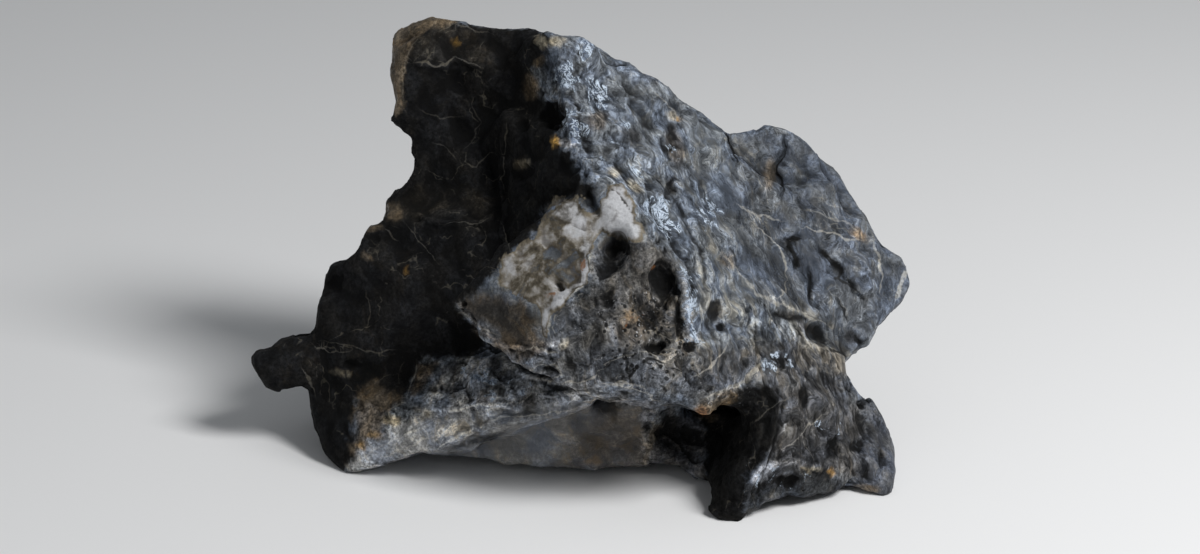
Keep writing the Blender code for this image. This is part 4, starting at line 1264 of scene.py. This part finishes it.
@dataclass
class StonePaint:
    """The stone's colours: a ground colour for each point, and the finer coats."""

    viewer: Viewer
    # Painted shade: rock turned away from this direction is coloured darker.
    light_side: Vector = field(default_factory=lambda: Vector((0.75, -0.25, 0.6)).normalized())
    side_length: float = 30 * MM
    side_edge: float = 0.35
    shaded_side_share: float = 0.5
    seen: Point = (0.03, 0.3)
    frays: tuple[Point, ...] = ((4 * MM, 1.0), (1.6 * MM, 0.6))
    sways: tuple[Point, ...] = ((3.2 * MM, 3.2), (1.2 * MM, 1.3))
    line_start: float = 9.0
    line_end: Point = (4.0, 7.0)
    crevice_depths: tuple[tuple[int, float], ...] = ((4, 0.16 * MM), (16, 0.6 * MM))
    crevice_share: float = 0.5
    crevice_most: float = 1.5

    def ground(self, points: np.ndarray, normals: np.ndarray) -> np.ndarray:
        """Colours the plain rock, with painted shade: darker on the side turned away from the light.

        Args:
            points: the mesh's points.
            normals: the surface's direction at each.

        Returns:
            a colour for each point.
        """
        lit = normals @ np.array(self.light_side) + noise_at(points, self.side_length)
        lit = smooth_step(-self.side_edge, self.side_edge, lit)[:, None]
        # Painted shade: the side away from the light takes a darker grey.
        dark = np.array(Tint.STEEL.value)
        return (1 - lit) * dark * self.shaded_side_share + lit * np.array(Tint.SLATE.value)

    @staticmethod
    def marked(ground: np.ndarray, places: np.ndarray, seen: np.ndarray,
               fray: np.ndarray) -> np.ndarray:
        """Lays the zones and spots over the part of the plain rock that the viewer sees.

        Args:
            ground: the plain rock's colours, with painted shade on the side away from the light.
            places: each point's place in the picture.
            seen: the share of each point that the viewer sees.
            fray: a rough pattern from -1 to 1 that frays the edges.

        Returns:
            a colour for each point.
        """
        slate = np.array(Tint.SLATE.value)
        shown = slate + (ground - slate) * (1 - seen)[:, None]
        for mark in ZONES + SPOTS:
            share = mark.cover(places, fray) * seen
            shown += (np.array(mark.tint.value) - shown) * share[:, None]
        return shown

    def lines(self, coat: Coat, places: np.ndarray, seen: np.ndarray) -> dict[Coat, np.ndarray]:
        """Draws the lines of one coat, for the material to sharpen.

        Args:
            coat: the coat.
            places: each point's place in the picture, swayed so that no line is straight.
            seen: the share of each point that the viewer sees.

        Returns:
            for the coat its strength at each point, for its gap the distance to the nearest line,
            negative on one side of it, and for its width half the width of that line.
        """
        strength = np.zeros(len(places))
        gaps = np.full(len(places), self.line_start)
        widths = np.zeros(len(places))
        for streak in STREAKS[coat]:
            gap, along, side = path_distance(places, streak.path)
            nearer = gap < np.abs(gaps)
            gaps[nearer] = (gap * side)[nearer]
            strength[nearer] = (streak.share * seen * streak.strength(along))[nearer]
            widths[nearer] = streak.width(along)[nearer]
        strength *= 1 - smooth_step(*self.line_end, np.abs(gaps))
        gap_coat, width_coat = LINE_COATS[coat]
        return {coat: strength, gap_coat: gaps, width_coat: widths}

    def coats(self, places: np.ndarray, swayed: np.ndarray, seen: np.ndarray,
              fray: np.ndarray) -> dict[Coat, np.ndarray]:
        """Works out how much of each coat every point has.

        Args:
            places: each point's place in the picture.
            swayed: the same, swayed so that no line is straight.
            seen: the share of each point that the viewer sees.
            fray: a rough pattern from -1 to 1 that frays the edges.

        Returns:
            for each coat, a value for each point.
        """
        found = {coat: np.zeros(len(places)) for coat in Coat}
        for coat, patches in PATCHES.items():
            for patch in patches:
                found[coat] = np.maximum(found[coat], patch.cover(places, fray) * seen)
        for coat, streaks in STREAKS.items():
            if coat in LINE_COATS:
                found.update(self.lines(coat, swayed, seen))
                continue
            for streak in streaks:
                found[coat] = np.maximum(found[coat], streak.cover(swayed) * seen)
        return found

    def crevice(self, mesh: bpy.types.Mesh) -> np.ndarray:
        """Works out how far each point lies below its surroundings, near and wide.

        Args:
            mesh: the stone's mesh.

        Returns:
            about 1 in a crack and -1 on an edge.
        """
        points, normals = surface_of(mesh)
        below = sum(
            ((neighbour_mean(mesh, points, rounds) - points) * normals).sum(1) / depth
            * self.crevice_share
            for rounds, depth in self.crevice_depths
        )
        return np.clip(below, -self.crevice_most, self.crevice_most)

    def apply(self, stone: bpy.types.Object) -> None:
        """Writes the colours and coats to the stone's mesh.

        Args:
            stone: the stone's object.
        """
        points, normals = surface_of(stone.data)
        seen = self.viewer.sees(stone.data, *self.seen)
        places = self.viewer.picture_of(points)
        fray = sum(noise_at(points, length) * share for length, share in self.frays)
        swayed = places + sum(sway_at(points, length) * reach for length, reach in self.sways)
        ground = self.marked(self.ground(points, normals), places, seen, fray)
        write_colour(stone.data, ROCK_AND_SHADE, ground)
        for coat, values in self.coats(places, swayed, seen, fray).items():
            write_value(stone.data, coat.value, values)
        write_value(stone.data, CREVICE, self.crevice(stone.data))


@dataclass(frozen=True)
class Ramp:
    """How a value from low to high is carried, smoothly, to one from start to end."""

    low: float
    high: float
    start: float = 0.0
    end: float = 1.0


LINE_FRAY = Ramp(0.3, 0.7, 0.35, -0.35)
LINE_EDGE = Ramp(0.25, 0.75, 1.0, 0.0)


@dataclass(frozen=True)
class Pattern:
    """A noise: how many forms it has in a metre, how fine and how rough it is, and its bend."""

    scale: float
    detail: float = 5.0
    rough: float = 0.6
    bend: float = 0.0


@dataclass(frozen=True)
class Strand:
    """Thin lines where a pattern passes a level."""

    level: float
    width: float


class Nodes:
    """A short way to write a material's nodes."""

    def __init__(self, tree: bpy.types.NodeTree) -> None:
        """Starts an empty material in the tree."""
        self.tree = tree
        tree.nodes.clear()

    def fill(self, socket: Socket, value: object) -> None:
        """Gives a socket its value.

        Args:
            socket: the socket.
            value: another socket, which is linked to it, or a plain value.
        """
        if isinstance(value, Socket):
            self.tree.links.new(value, socket)
        else:
            socket.default_value = value

    def add(self, kind: str, settings: dict | None = None, **inputs: object) -> bpy.types.Node:
        """Adds a node.

        Args:
            kind: the node's type without its prefix.
            settings: properties of the node.
            inputs: sockets by name, with spaces written as _, or by place as in0, in1 and so on.

        Returns:
            the node.
        """
        node = self.tree.nodes.new("ShaderNode" + kind)
        for name, value in (settings or {}).items():
            setattr(node, name, value)
        for name, value in inputs.items():
            by_place = name[:2] == "in" and name[2:].isdigit()
            self.fill(node.inputs[int(name[2:]) if by_place else name.replace("_", " ")], value)
        return node

    def math(self, operation: str, *values: Value) -> Socket:
        """Returns the result of one sum."""
        inputs = {f"in{place}": value for place, value in enumerate(values)}
        return self.add("Math", {"operation": operation}, **inputs).outputs[0]

    def chain(self, operation: str, *values: Value) -> Socket:
        """Returns the result of one sum after the other, from the first value to the last."""
        return reduce(lambda first, second: self.math(operation, first, second), values)

    def product(self, *values: Value) -> Socket:
        """Returns the values multiplied."""
        return self.chain("MULTIPLY", *values)

    def total(self, *values: Value) -> Socket:
        """Returns the values added."""
        return self.chain("ADD", *values)

    def largest(self, *values: Value) -> Socket:
        """Returns the largest of the values."""
        return self.chain("MAXIMUM", *values)

    def span(self, value: Value, ramp: Ramp) -> Socket:
        """Returns the value carried along the ramp."""
        return self.add("MapRange", {"interpolation_type": "SMOOTHSTEP"}, Value=value,
                        From_Min=ramp.low, From_Max=ramp.high, To_Min=ramp.start,
                        To_Max=ramp.end).outputs["Result"]

    def strand(self, value: Value, strand: Strand) -> Socket:
        """Returns one on the thin lines where the value passes the strand's level."""
        apart = self.math("ABSOLUTE", self.math("SUBTRACT", value, strand.level))
        return self.span(apart, Ramp(0.0, strand.width, 1.0, 0.0))

    def blend(self, share: Value, first: object, second: object, kind: str = "MIX") -> Socket:
        """Mixes two colours.

        Args:
            share: how much of the second is taken.
            first: the colour below.
            second: the colour above.
            kind: how they are mixed.

        Returns:
            the mixed colour.
        """
        node = self.add("Mix", {"data_type": "RGBA", "blend_type": kind}, in0=share, in6=first,
                        in7=second)
        return node.outputs[2]

    def tinted(self, colour: object, factor: object) -> Socket:
        """Returns a colour multiplied by another."""
        return self.blend(1.0, colour, factor, "MULTIPLY")

    def grey(self, value: Value) -> Socket:
        """Returns the grey of this value."""
        return self.add("CombineColor", None, in0=value, in1=value, in2=value).outputs[0]

    def mix_value(self, share: Value, first: Value, second: Value) -> Socket:
        """Returns two values mixed."""
        return self.add("Mix", {"data_type": "FLOAT"}, in0=share, in2=first, in3=second).outputs[0]

    def pattern(self, where: Socket, pattern: Pattern) -> Socket:
        """Returns a noise from 0 to 1."""
        return self.add("TexNoise", None, Vector=where, Scale=pattern.scale, Detail=pattern.detail,
                        Roughness=pattern.rough, Distortion=pattern.bend).outputs[0]

    def pushed(self, where: Socket, scale: float, reach: float, detail: float = 2.0) -> Socket:
        """Pushes places about by a noise, which makes patterns read there swirl.

        Args:
            where: the places.
            scale: how many forms the noise has in a metre.
            reach: how far it pushes.
            detail: how fine it is.

        Returns:
            the pushed places.
        """
        push = self.add("TexNoise", None, Vector=where, Scale=scale, Detail=detail).outputs[1]
        return self.add("VectorMath", {"operation": "MULTIPLY_ADD"}, in0=push, in1=(reach,) * 3,
                        in2=where).outputs[0]

    def reading(self, name: str, output: str = "Fac") -> Socket:
        """Returns an attribute of the mesh."""
        return self.add("Attribute", {"attribute_name": name}).outputs[output]


@dataclass(frozen=True)
class Grain:
    """The patterns in the rock that its layers read."""

    where: Socket
    bent: Socket
    fibre: Socket
    strands: Socket
    speckle: Socket
    mottle: Socket
    clouds: Socket
    crevice: Socket
    fibrous: Socket
    grit: Socket
    calm: Socket


@dataclass(frozen=True)
class GrainSizes:
    """How fine the patterns in the rock are, and how they swirl and run along its fibres."""

    swirls: tuple[Point, ...] = ((75.0, 0.016), (330.0, 0.0022))
    fibre_turn: Triple = (0.0, math.radians(39), math.radians(-67))
    fibre_squeeze: Triple = (0.22, 1.0, 1.0)
    fibre: Pattern = Pattern(700, 5, 0.62)
    strands: Pattern = Pattern(260, 6, 0.62)
    speckle: Pattern = Pattern(900, 5, 0.74)
    mottle: Pattern = Pattern(200, 7, 0.64)
    clouds: Pattern = Pattern(60, 5, 0.65)
    fibre_share: float = 0.8
    calm: Ramp = Ramp(0.0, 0.8, 0.12, 1.0)

    def lay(self, nodes: Nodes) -> Grain:
        """Makes the patterns.

        Args:
            nodes: the material's nodes.

        Returns:
            the patterns.
        """
        where = nodes.add("TexCoord").outputs["Object"]
        bent = reduce(lambda place, swirl: nodes.pushed(place, *swirl), self.swirls, where)
        turned = nodes.add("Mapping", {"vector_type": "TEXTURE"}, Vector=bent,
                           Rotation=self.fibre_turn).outputs[0]
        drawn = nodes.add("Mapping", None, Vector=turned, Scale=self.fibre_squeeze).outputs[0]
        fibre = nodes.pattern(drawn, self.fibre)
        speckle = nodes.pattern(where, self.speckle)
        fibrous = nodes.reading(Coat.FIBRE.value)
        return Grain(
            where=where,
            bent=bent,
            fibre=fibre,
            strands=nodes.pattern(drawn, self.strands),
            speckle=speckle,
            mottle=nodes.pattern(bent, self.mottle),
            clouds=nodes.pattern(bent, self.clouds),
            crevice=nodes.reading(CREVICE),
            fibrous=fibrous,
            grit=nodes.mix_value(nodes.product(fibrous, self.fibre_share), speckle, fibre),
            calm=nodes.span(nodes.reading(CALM), self.calm),
        )


@dataclass(frozen=True)
class Layer:
    """A layer of the finish over the colour below it."""

    def over(self, nodes: Nodes, grain: Grain, colour: Socket) -> Socket:
        """Lays the layer.

        Args:
            nodes: the material's nodes.
            grain: the patterns in the rock.
            colour: the colour below.

        Returns:
            the colour with the layer over it.
        """
        raise NotImplementedError

    @staticmethod
    def line(nodes: Nodes, grain: Grain, coat: Coat) -> Socket:
        """Sharpens the lines of a coat and frays their width.

        Args:
            nodes: the material's nodes.
            grain: the patterns in the rock.
            coat: the coat.

        Returns:
            the coat's strength on its lines, and nought off them.
        """
        gap_coat, width_coat = LINE_COATS[coat]
        gap = nodes.math("ABSOLUTE", nodes.reading(gap_coat.value))
        gap = nodes.math("DIVIDE", gap, nodes.reading(width_coat.value))
        gap = nodes.total(gap, nodes.span(grain.mottle, LINE_FRAY))
        return nodes.product(nodes.span(gap, LINE_EDGE), nodes.reading(coat.value))


@dataclass(frozen=True)
class Tone(Layer):
    """The rock's lighter and darker grain, with thin dark strands where it is fibrous.

    It also paints shade in crevices and a highlight on edges.
    """

    grit: Ramp = Ramp(0.36, 0.66, 0.35, 1.8)
    mottle: Ramp = Ramp(0.34, 0.66, 0.45, 1.65)
    clouds: Ramp = Ramp(0.35, 0.65, 0.8, 1.2)
    # Painted shade in crevices and painted highlight on edges, by how far each point lies below its
    # surroundings.
    crevice: Ramp = Ramp(-0.9, 0.9, 1.5, 0.4)
    strand: Strand = Strand(0.44, 0.016)
    strand_share: Ramp = Ramp(0.0, 0.8, 0.2, 0.75)

    def over(self, nodes: Nodes, grain: Grain, colour: Socket) -> Socket:
        """Lightens and darkens the rock.

        Args:
            nodes: the material's nodes.
            grain: the patterns in the rock.
            colour: the colour below.

        Returns:
            the colour with the layer over it.
        """
        tone = nodes.product(
            nodes.span(grain.grit, self.grit),
            nodes.span(grain.mottle, self.mottle),
            nodes.span(grain.clouds, self.clouds),
            # painted shade in crevices and painted highlight on edges
            nodes.span(grain.crevice, self.crevice),
        )
        tone = nodes.mix_value(grain.calm, 1.0, tone)
        dark = nodes.product(nodes.strand(grain.strands, self.strand),
                             nodes.span(grain.fibrous, self.strand_share))
        tone = nodes.product(tone, nodes.math("SUBTRACT", 1.0, dark))
        return nodes.tinted(colour, nodes.grey(tone))


@dataclass(frozen=True)
class Hue(Layer):
    """A slow drift of the rock's colour from cool to warm."""

    drift: Pattern = Pattern(95, 4, 0.6)
    edge: Ramp = Ramp(0.38, 0.62)

    def over(self, nodes: Nodes, grain: Grain, colour: Socket) -> Socket:
        """Drifts the rock from cool to warm.

        Args:
            nodes: the material's nodes.
            grain: the patterns in the rock.
            colour: the colour below.

        Returns:
            the colour with the layer over it.
        """
        drift = nodes.span(nodes.pattern(grain.bent, self.drift), self.edge)
        return nodes.tinted(colour, nodes.blend(drift, Wash.COOL.full, Wash.WARM.full))


@dataclass(frozen=True)
class PaleStrands(Layer):
    """Thin pale strands along the fibres and round the mottles."""

    along: Strand = Strand(0.5, 0.018)
    around: Strand = Strand(0.52, 0.010)
    clouds: Ramp = Ramp(0.4, 0.6, 0.2, 0.85)
    fibrous: Ramp = Ramp(0.0, 0.8, 0.35, 1.0)

    def over(self, nodes: Nodes, grain: Grain, colour: Socket) -> Socket:
        """Draws the strands.

        Args:
            nodes: the material's nodes.
            grain: the patterns in the rock.
            colour: the colour below.

        Returns:
            the colour with the layer over it.
        """
        share = nodes.product(
            nodes.largest(nodes.strand(grain.strands, self.along),
                          nodes.strand(grain.mottle, self.around)),
            nodes.span(grain.clouds, self.clouds),
            nodes.span(grain.fibrous, self.fibrous),
        )
        return nodes.blend(share, colour, nodes.tinted(colour, Wash.LIFTED.full))


@dataclass(frozen=True)
class Stains(Layer):
    """Tan stains along the fibres."""

    strands: Ramp = Ramp(0.35, 0.65, -0.45, 0.45)
    clouds: Ramp = Ramp(0.35, 0.7, -0.2, 0.3)
    edge: Ramp = Ramp(0.1, 0.9)

    def over(self, nodes: Nodes, grain: Grain, colour: Socket) -> Socket:
        """Stains the rock.

        Args:
            nodes: the material's nodes.
            grain: the patterns in the rock.
            colour: the colour below.

        Returns:
            the colour with the layer over it.
        """
        amount = nodes.total(
            nodes.reading(Coat.TAN.value),
            nodes.span(grain.strands, self.strands),
            nodes.span(grain.clouds, self.clouds),
        )
        stained = nodes.tinted(colour, Wash.STAINED.full)
        return nodes.blend(nodes.span(amount, self.edge), colour, stained)


@dataclass(frozen=True)
class PaintedGlints(Layer):
    """Painted glints: small bluish-white highlights and strands on a darker ground."""

    fray: Ramp = Ramp(0.35, 0.65, -0.6, 0.5)
    edge: Ramp = Ramp(0.60, 0.78)
    broad: Strand = Strand(0.5, 0.030)
    fine: Strand = Strand(0.53, 0.045)
    lit: Ramp = Ramp(0.25, 0.75, 0.06, 0.95)

    def over(self, nodes: Nodes, grain: Grain, colour: Socket) -> Socket:
        """Lays the painted glints.

        Args:
            nodes: the material's nodes.
            grain: the patterns in the rock.
            colour: the colour below.

        Returns:
            the colour with the layer over it.
        """
        amount = nodes.total(nodes.reading(Coat.PAINTED_GLINT.value), nodes.span(grain.mottle, self.fray))
        share = nodes.span(amount, self.edge)
        lines = nodes.largest(nodes.strand(grain.strands, self.broad),
                              nodes.strand(grain.fibre, self.fine))
        # Painted glints: the ground is darkened round them, then lit strands are laid over it.
        colour = nodes.blend(share, colour, nodes.tinted(colour, Wash.PAINTED_GLINT_SHADE.full))
        lit = nodes.product(share, nodes.span(lines, self.lit))
        return nodes.blend(lit, colour, Tint.PAINTED_GLINT.full)


@dataclass(frozen=True)
class Veins(Layer):
    """Pale veins: those named, and hair-thin ones all over."""

    swirl: Triple = (90.0, 0.02, 3.0)
    hair_cells: float = 38.0
    hair: Ramp = Ramp(0.0, 0.012, 0.55, 0.0)
    hair_gaps: Ramp = Ramp(0.45, 0.6)
    speckle: Ramp = Ramp(0.3, 0.6, 0.4, 1.0)
    cream: Ramp = Ramp(0.35, 0.65)
    clear: float = 0.5
    hair_clear: float = 0.55

    def over(self, nodes: Nodes, grain: Grain, colour: Socket) -> Socket:
        """Draws the veins.

        Args:
            nodes: the material's nodes.
            grain: the patterns in the rock.
            colour: the colour below.

        Returns:
            the colour with the layer over it.
        """
        bent = nodes.pushed(grain.where, *self.swirl)
        cells = nodes.add("TexVoronoi", {"feature": "DISTANCE_TO_EDGE"}, Vector=bent,
                          Scale=self.hair_cells).outputs[0]
        hair = nodes.product(nodes.span(cells, self.hair), nodes.span(grain.mottle, self.hair_gaps))
        named = nodes.product(self.line(nodes, grain, Coat.VEIN),
                              nodes.span(grain.speckle, self.speckle))
        pale = nodes.blend(nodes.span(grain.mottle, self.cream), Tint.VEIN_WHITE.full,
                           Tint.VEIN_CREAM.full)
        pale = nodes.blend(self.clear, pale, nodes.tinted(colour, Wash.VEIN_LIFT.full))
        colour = nodes.blend(named, colour, pale)
        return nodes.blend(hair, colour, nodes.blend(self.hair_clear, pale, colour))


@dataclass(frozen=True)
class Quartz(Layer):
    """Cloudy white and olive quartz, with painted shade in its crevices."""

    cloud: Pattern = Pattern(95, 6, 0.6, 0.6)
    flake: Pattern = Pattern(330, 3, 0.55)
    fray: Ramp = Ramp(0.36, 0.64, -0.28, 0.28)
    edge: Ramp = Ramp(0.35, 0.55)
    flake_share: float = 0.35
    olive: Ramp = Ramp(0.40, 0.60)
    flake_fray: Ramp = Ramp(0.35, 0.65, -0.15, 0.15)
    clean: Ramp = Ramp(0.55, 1.3)
    # Painted shade in the quartz's crevices.
    hollow: Ramp = Ramp(0.1, 0.9, 0.0, 0.6)
    speckle: Ramp = Ramp(0.32, 0.68, 0.82, 1.14)

    def over(self, nodes: Nodes, grain: Grain, colour: Socket) -> Socket:
        """Lays the quartz.

        Args:
            nodes: the material's nodes.
            grain: the patterns in the rock.
            colour: the colour below.

        Returns:
            the colour with the layer over it.
        """
        cloud = nodes.pattern(grain.where, self.cloud)
        flake = nodes.pattern(grain.where, self.flake)
        amount = nodes.total(nodes.reading(Coat.QUARTZ.value), nodes.span(cloud, self.fray))
        mixed = nodes.mix_value(self.flake_share, cloud, flake)
        dirty = nodes.blend(nodes.span(mixed, self.olive), Tint.DARK_OLIVE.full, Tint.OLIVE.full)
        clean = nodes.span(nodes.total(amount, nodes.span(flake, self.flake_fray)), self.clean)
        body = nodes.blend(clean, dirty, Tint.QUARTZ.full)
        # Painted shade in the quartz's crevices.
        body = nodes.blend(nodes.span(grain.crevice, self.hollow), body, Tint.HOLLOW_OLIVE.full)
        body = nodes.tinted(body, nodes.grey(nodes.span(grain.speckle, self.speckle)))
        return nodes.blend(nodes.span(amount, self.edge), colour, body)


@dataclass(frozen=True)
class Pores(Layer):
    """Painted shade in small black holes, and tiny painted glints between them."""

    cells: float = 520.0
    fray: Ramp = Ramp(0.36, 0.60, 0.22, -0.12)
    hole: Ramp = Ramp(0.26, 0.37, 1.0, 0.0)
    grains: Pattern = Pattern(1500, 1, 0.5)
    lit: Ramp = Ramp(0.66, 0.72, 0.0, 0.9)
    between: Ramp = Ramp(0.48, 0.56)

    def over(self, nodes: Nodes, grain: Grain, colour: Socket) -> Socket:
        """Sets the painted shade of the holes and the painted glints.

        Args:
            nodes: the material's nodes.
            grain: the patterns in the rock.
            colour: the colour below.

        Returns:
            the colour with the layer over it.
        """
        amount = nodes.reading(Coat.PORES.value)
        cells = nodes.add("TexVoronoi", None, Vector=grain.where, Scale=self.cells).outputs[0]
        pitted = nodes.total(cells, nodes.span(grain.mottle, self.fray))
        # Painted shade in the holes.
        holes = nodes.product(nodes.span(pitted, self.hole), amount)
        colour = nodes.blend(holes, colour, Tint.SHADE_BLACK.full)
        # Painted glints between the holes.
        lit = nodes.product(
            nodes.span(nodes.pattern(grain.where, self.grains), self.lit),
            nodes.span(grain.mottle, self.between),
            amount,
        )
        return nodes.blend(lit, colour, Tint.QUARTZ.full)


@dataclass(frozen=True)
class Rust(Layer):
    """Flecks of rust."""

    fray: Ramp = Ramp(0.3, 0.7, -0.3, 0.3)
    edge: Ramp = Ramp(0.5, 0.95, 0.0, 0.8)

    def over(self, nodes: Nodes, grain: Grain, colour: Socket) -> Socket:
        """Sets the flecks.

        Args:
            nodes: the material's nodes.
            grain: the patterns in the rock.
            colour: the colour below.

        Returns:
            the colour with the layer over it.
        """
        amount = nodes.total(nodes.reading(Coat.RUST.value), nodes.span(grain.mottle, self.fray))
        return nodes.blend(nodes.span(amount, self.edge), colour, Tint.RUST.full)


@dataclass(frozen=True)
class Pits(Layer):
    """Painted shade: black in the deepest crevices and along the named cracks and shade lines."""

    deep: Ramp = Ramp(0.5, 1.3, 0.0, 0.75)

    def over(self, nodes: Nodes, grain: Grain, colour: Socket) -> Socket:
        """Paints shade black in the pits and cracks.

        Args:
            nodes: the material's nodes.
            grain: the patterns in the rock.
            colour: the colour below.

        Returns:
            the colour with the layer over it.
        """
        # Painted shade in the deepest crevices and along the crack lines.
        pits = nodes.product(nodes.span(grain.crevice, self.deep), grain.calm)
        pits = nodes.largest(pits, self.line(nodes, grain, Coat.CRACK_SHADE))
        return nodes.blend(pits, colour, Tint.SHADE_BLACK.full)


@dataclass(frozen=True)
class Sheen:
    """The damp sheen, which is duller in crevices and on the blackest rock."""

    patches: Pattern = Pattern(420, 5, 0.7)
    plain: Ramp = Ramp(0.3, 0.7, 0.28, 0.7)
    crevice: Ramp = Ramp(0.0, 0.8, 0.28, 0.9)
    black: Ramp = Ramp(0.008, 0.04, 0.4, 0.0)

    def roughness(self, nodes: Nodes, grain: Grain) -> Socket:
        """Works out how rough the surface is.

        Args:
            nodes: the material's nodes.
            grain: the patterns in the rock.

        Returns:
            the roughness.
        """
        plain = nodes.span(nodes.pattern(grain.where, self.patches), self.plain)
        rough = nodes.largest(plain, nodes.span(grain.crevice, self.crevice))
        return nodes.total(rough, nodes.span(nodes.reading(ROCK_AND_SHADE), self.black))


@dataclass(frozen=True)
class StoneFinish:
    """The rock's material: blue-grey ground, fibres, quartz, veins, stains, painted shade, glints and a
    damp sheen.
    """

    name: str = "dragon_stone"
    sizes: GrainSizes = GrainSizes()
    layers: tuple[Layer, ...] = (
        Tone(), Hue(), PaleStrands(), Stains(), PaintedGlints(), Veins(), Quartz(), Pores(), Rust(), Pits(),
    )
    sheen: Sheen = Sheen()
    mottle_relief: float = 0.7
    relief: float = 0.5 * MM
    index: float = 1.5
    shine: float = 0.14

    def make(self) -> bpy.types.Material:
        """Makes the material.

        Returns:
            the material.
        """
        material = bpy.data.materials.new(self.name)
        material.use_nodes = True
        nodes = Nodes(material.node_tree)
        grain = self.sizes.lay(nodes)
        colour = nodes.reading(ROCK_AND_SHADE, "Color")
        for layer in self.layers:
            colour = layer.over(nodes, grain, colour)
        height = nodes.total(grain.grit, grain.strands,
                             nodes.product(grain.mottle, self.mottle_relief))
        bump = nodes.add("Bump", None, Strength=grain.calm, Distance=self.relief, Height=height)
        shader = nodes.add("BsdfPrincipled", None, Base_Color=colour,
                           Roughness=self.sheen.roughness(nodes, grain), Normal=bump.outputs[0],
                           IOR=self.index, Specular_IOR_Level=self.shine)
        nodes.add("OutputMaterial", None, Surface=shader.outputs[0])
        return material


@dataclass(frozen=True)
class Lamp:
    """A square soft light that faces the stone."""

    name: str
    place: Triple
    size: float
    power: float
    aim: Triple = (0.0, 0.0, 60 * MM)

    def hang(self) -> None:
        """Adds the light to the scene."""
        data = bpy.data.lights.new(self.name, "AREA")
        data.size = self.size
        data.energy = self.power
        light = bpy.data.objects.new(self.name, data)
        light.location = self.place
        light.rotation_mode = "QUATERNION"
        toward = Vector(self.aim) - Vector(self.place)
        light.rotation_quaternion = toward.to_track_quat("-Z", "Y")
        bpy.context.scene.collection.objects.link(light)


@dataclass
class Studio:
    """A plain pale floor, a soft light from the upper right, a weak fill and a pale sky."""

    floor_size: float = 8.0
    floor_grey: float = 0.82
    floor_roughness: float = 0.9
    lamps: tuple[Lamp, ...] = (
        Lamp("key", (0.75, -0.55, 1.0), 0.45, 17.0),
        Lamp("fill", (-0.7, -1.2, 0.5), 0.9, 0.9),
    )
    sky: Triple = (0.92, 0.96, 1.0)
    sky_strength: float = 0.22

    def make_floor(self) -> bpy.types.Object:
        """Makes the floor.

        Returns:
            the floor.
        """
        work = bmesh.new()
        bmesh.ops.create_grid(work, x_segments=2, y_segments=2, size=self.floor_size / 2)
        mesh = bpy.data.meshes.new("floor")
        work.to_mesh(mesh)
        work.free()
        material = bpy.data.materials.new("floor")
        material.use_nodes = True
        shader = material.node_tree.nodes["Principled BSDF"]
        shader.inputs["Base Color"].default_value = (self.floor_grey,) * 3 + (1.0,)
        shader.inputs["Roughness"].default_value = self.floor_roughness
        mesh.materials.append(material)
        floor = bpy.data.objects.new("floor", mesh)
        bpy.context.scene.collection.objects.link(floor)
        return floor

    def light(self) -> None:
        """Hangs the lamps and makes the sky."""
        for lamp in self.lamps:
            lamp.hang()
        world = bpy.data.worlds.new("studio")
        world.use_nodes = True
        background = world.node_tree.nodes["Background"]
        background.inputs[0].default_value = (*self.sky, 1.0)
        background.inputs[1].default_value = self.sky_strength
        bpy.context.scene.world = world
        bpy.context.scene.view_settings.view_transform = "Standard"


def main() -> None:
    """Builds the stone and its studio."""
    logging.basicConfig(level=logging.INFO, format="%(name)s: %(message)s")
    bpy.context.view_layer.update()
    viewer = Viewer()
    body = StoneBody()
    stone = body.carried_form(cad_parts[body.node])
    LOG.info("skin of %d points", len(stone.data.vertices))
    forms = StoneForms(viewer)
    body.roughen(stone, forms.calm(stone))
    forms.apply(stone)
    body.thin_out(stone)
    StonePaint(viewer).apply(stone)
    write_value(stone.data, CALM, forms.calm(stone))
    stone.data.materials.clear()
    stone.data.materials.append(StoneFinish().make())
    stone.data.shade_smooth()
    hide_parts(body.node)
    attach(stone, "root")
    LOG.info("stone of %d faces", len(stone.data.polygons))
    studio = Studio()
    studio.make_floor()
    studio.light()
    viewer.make_camera()


if __name__ == "__main__":
    main()
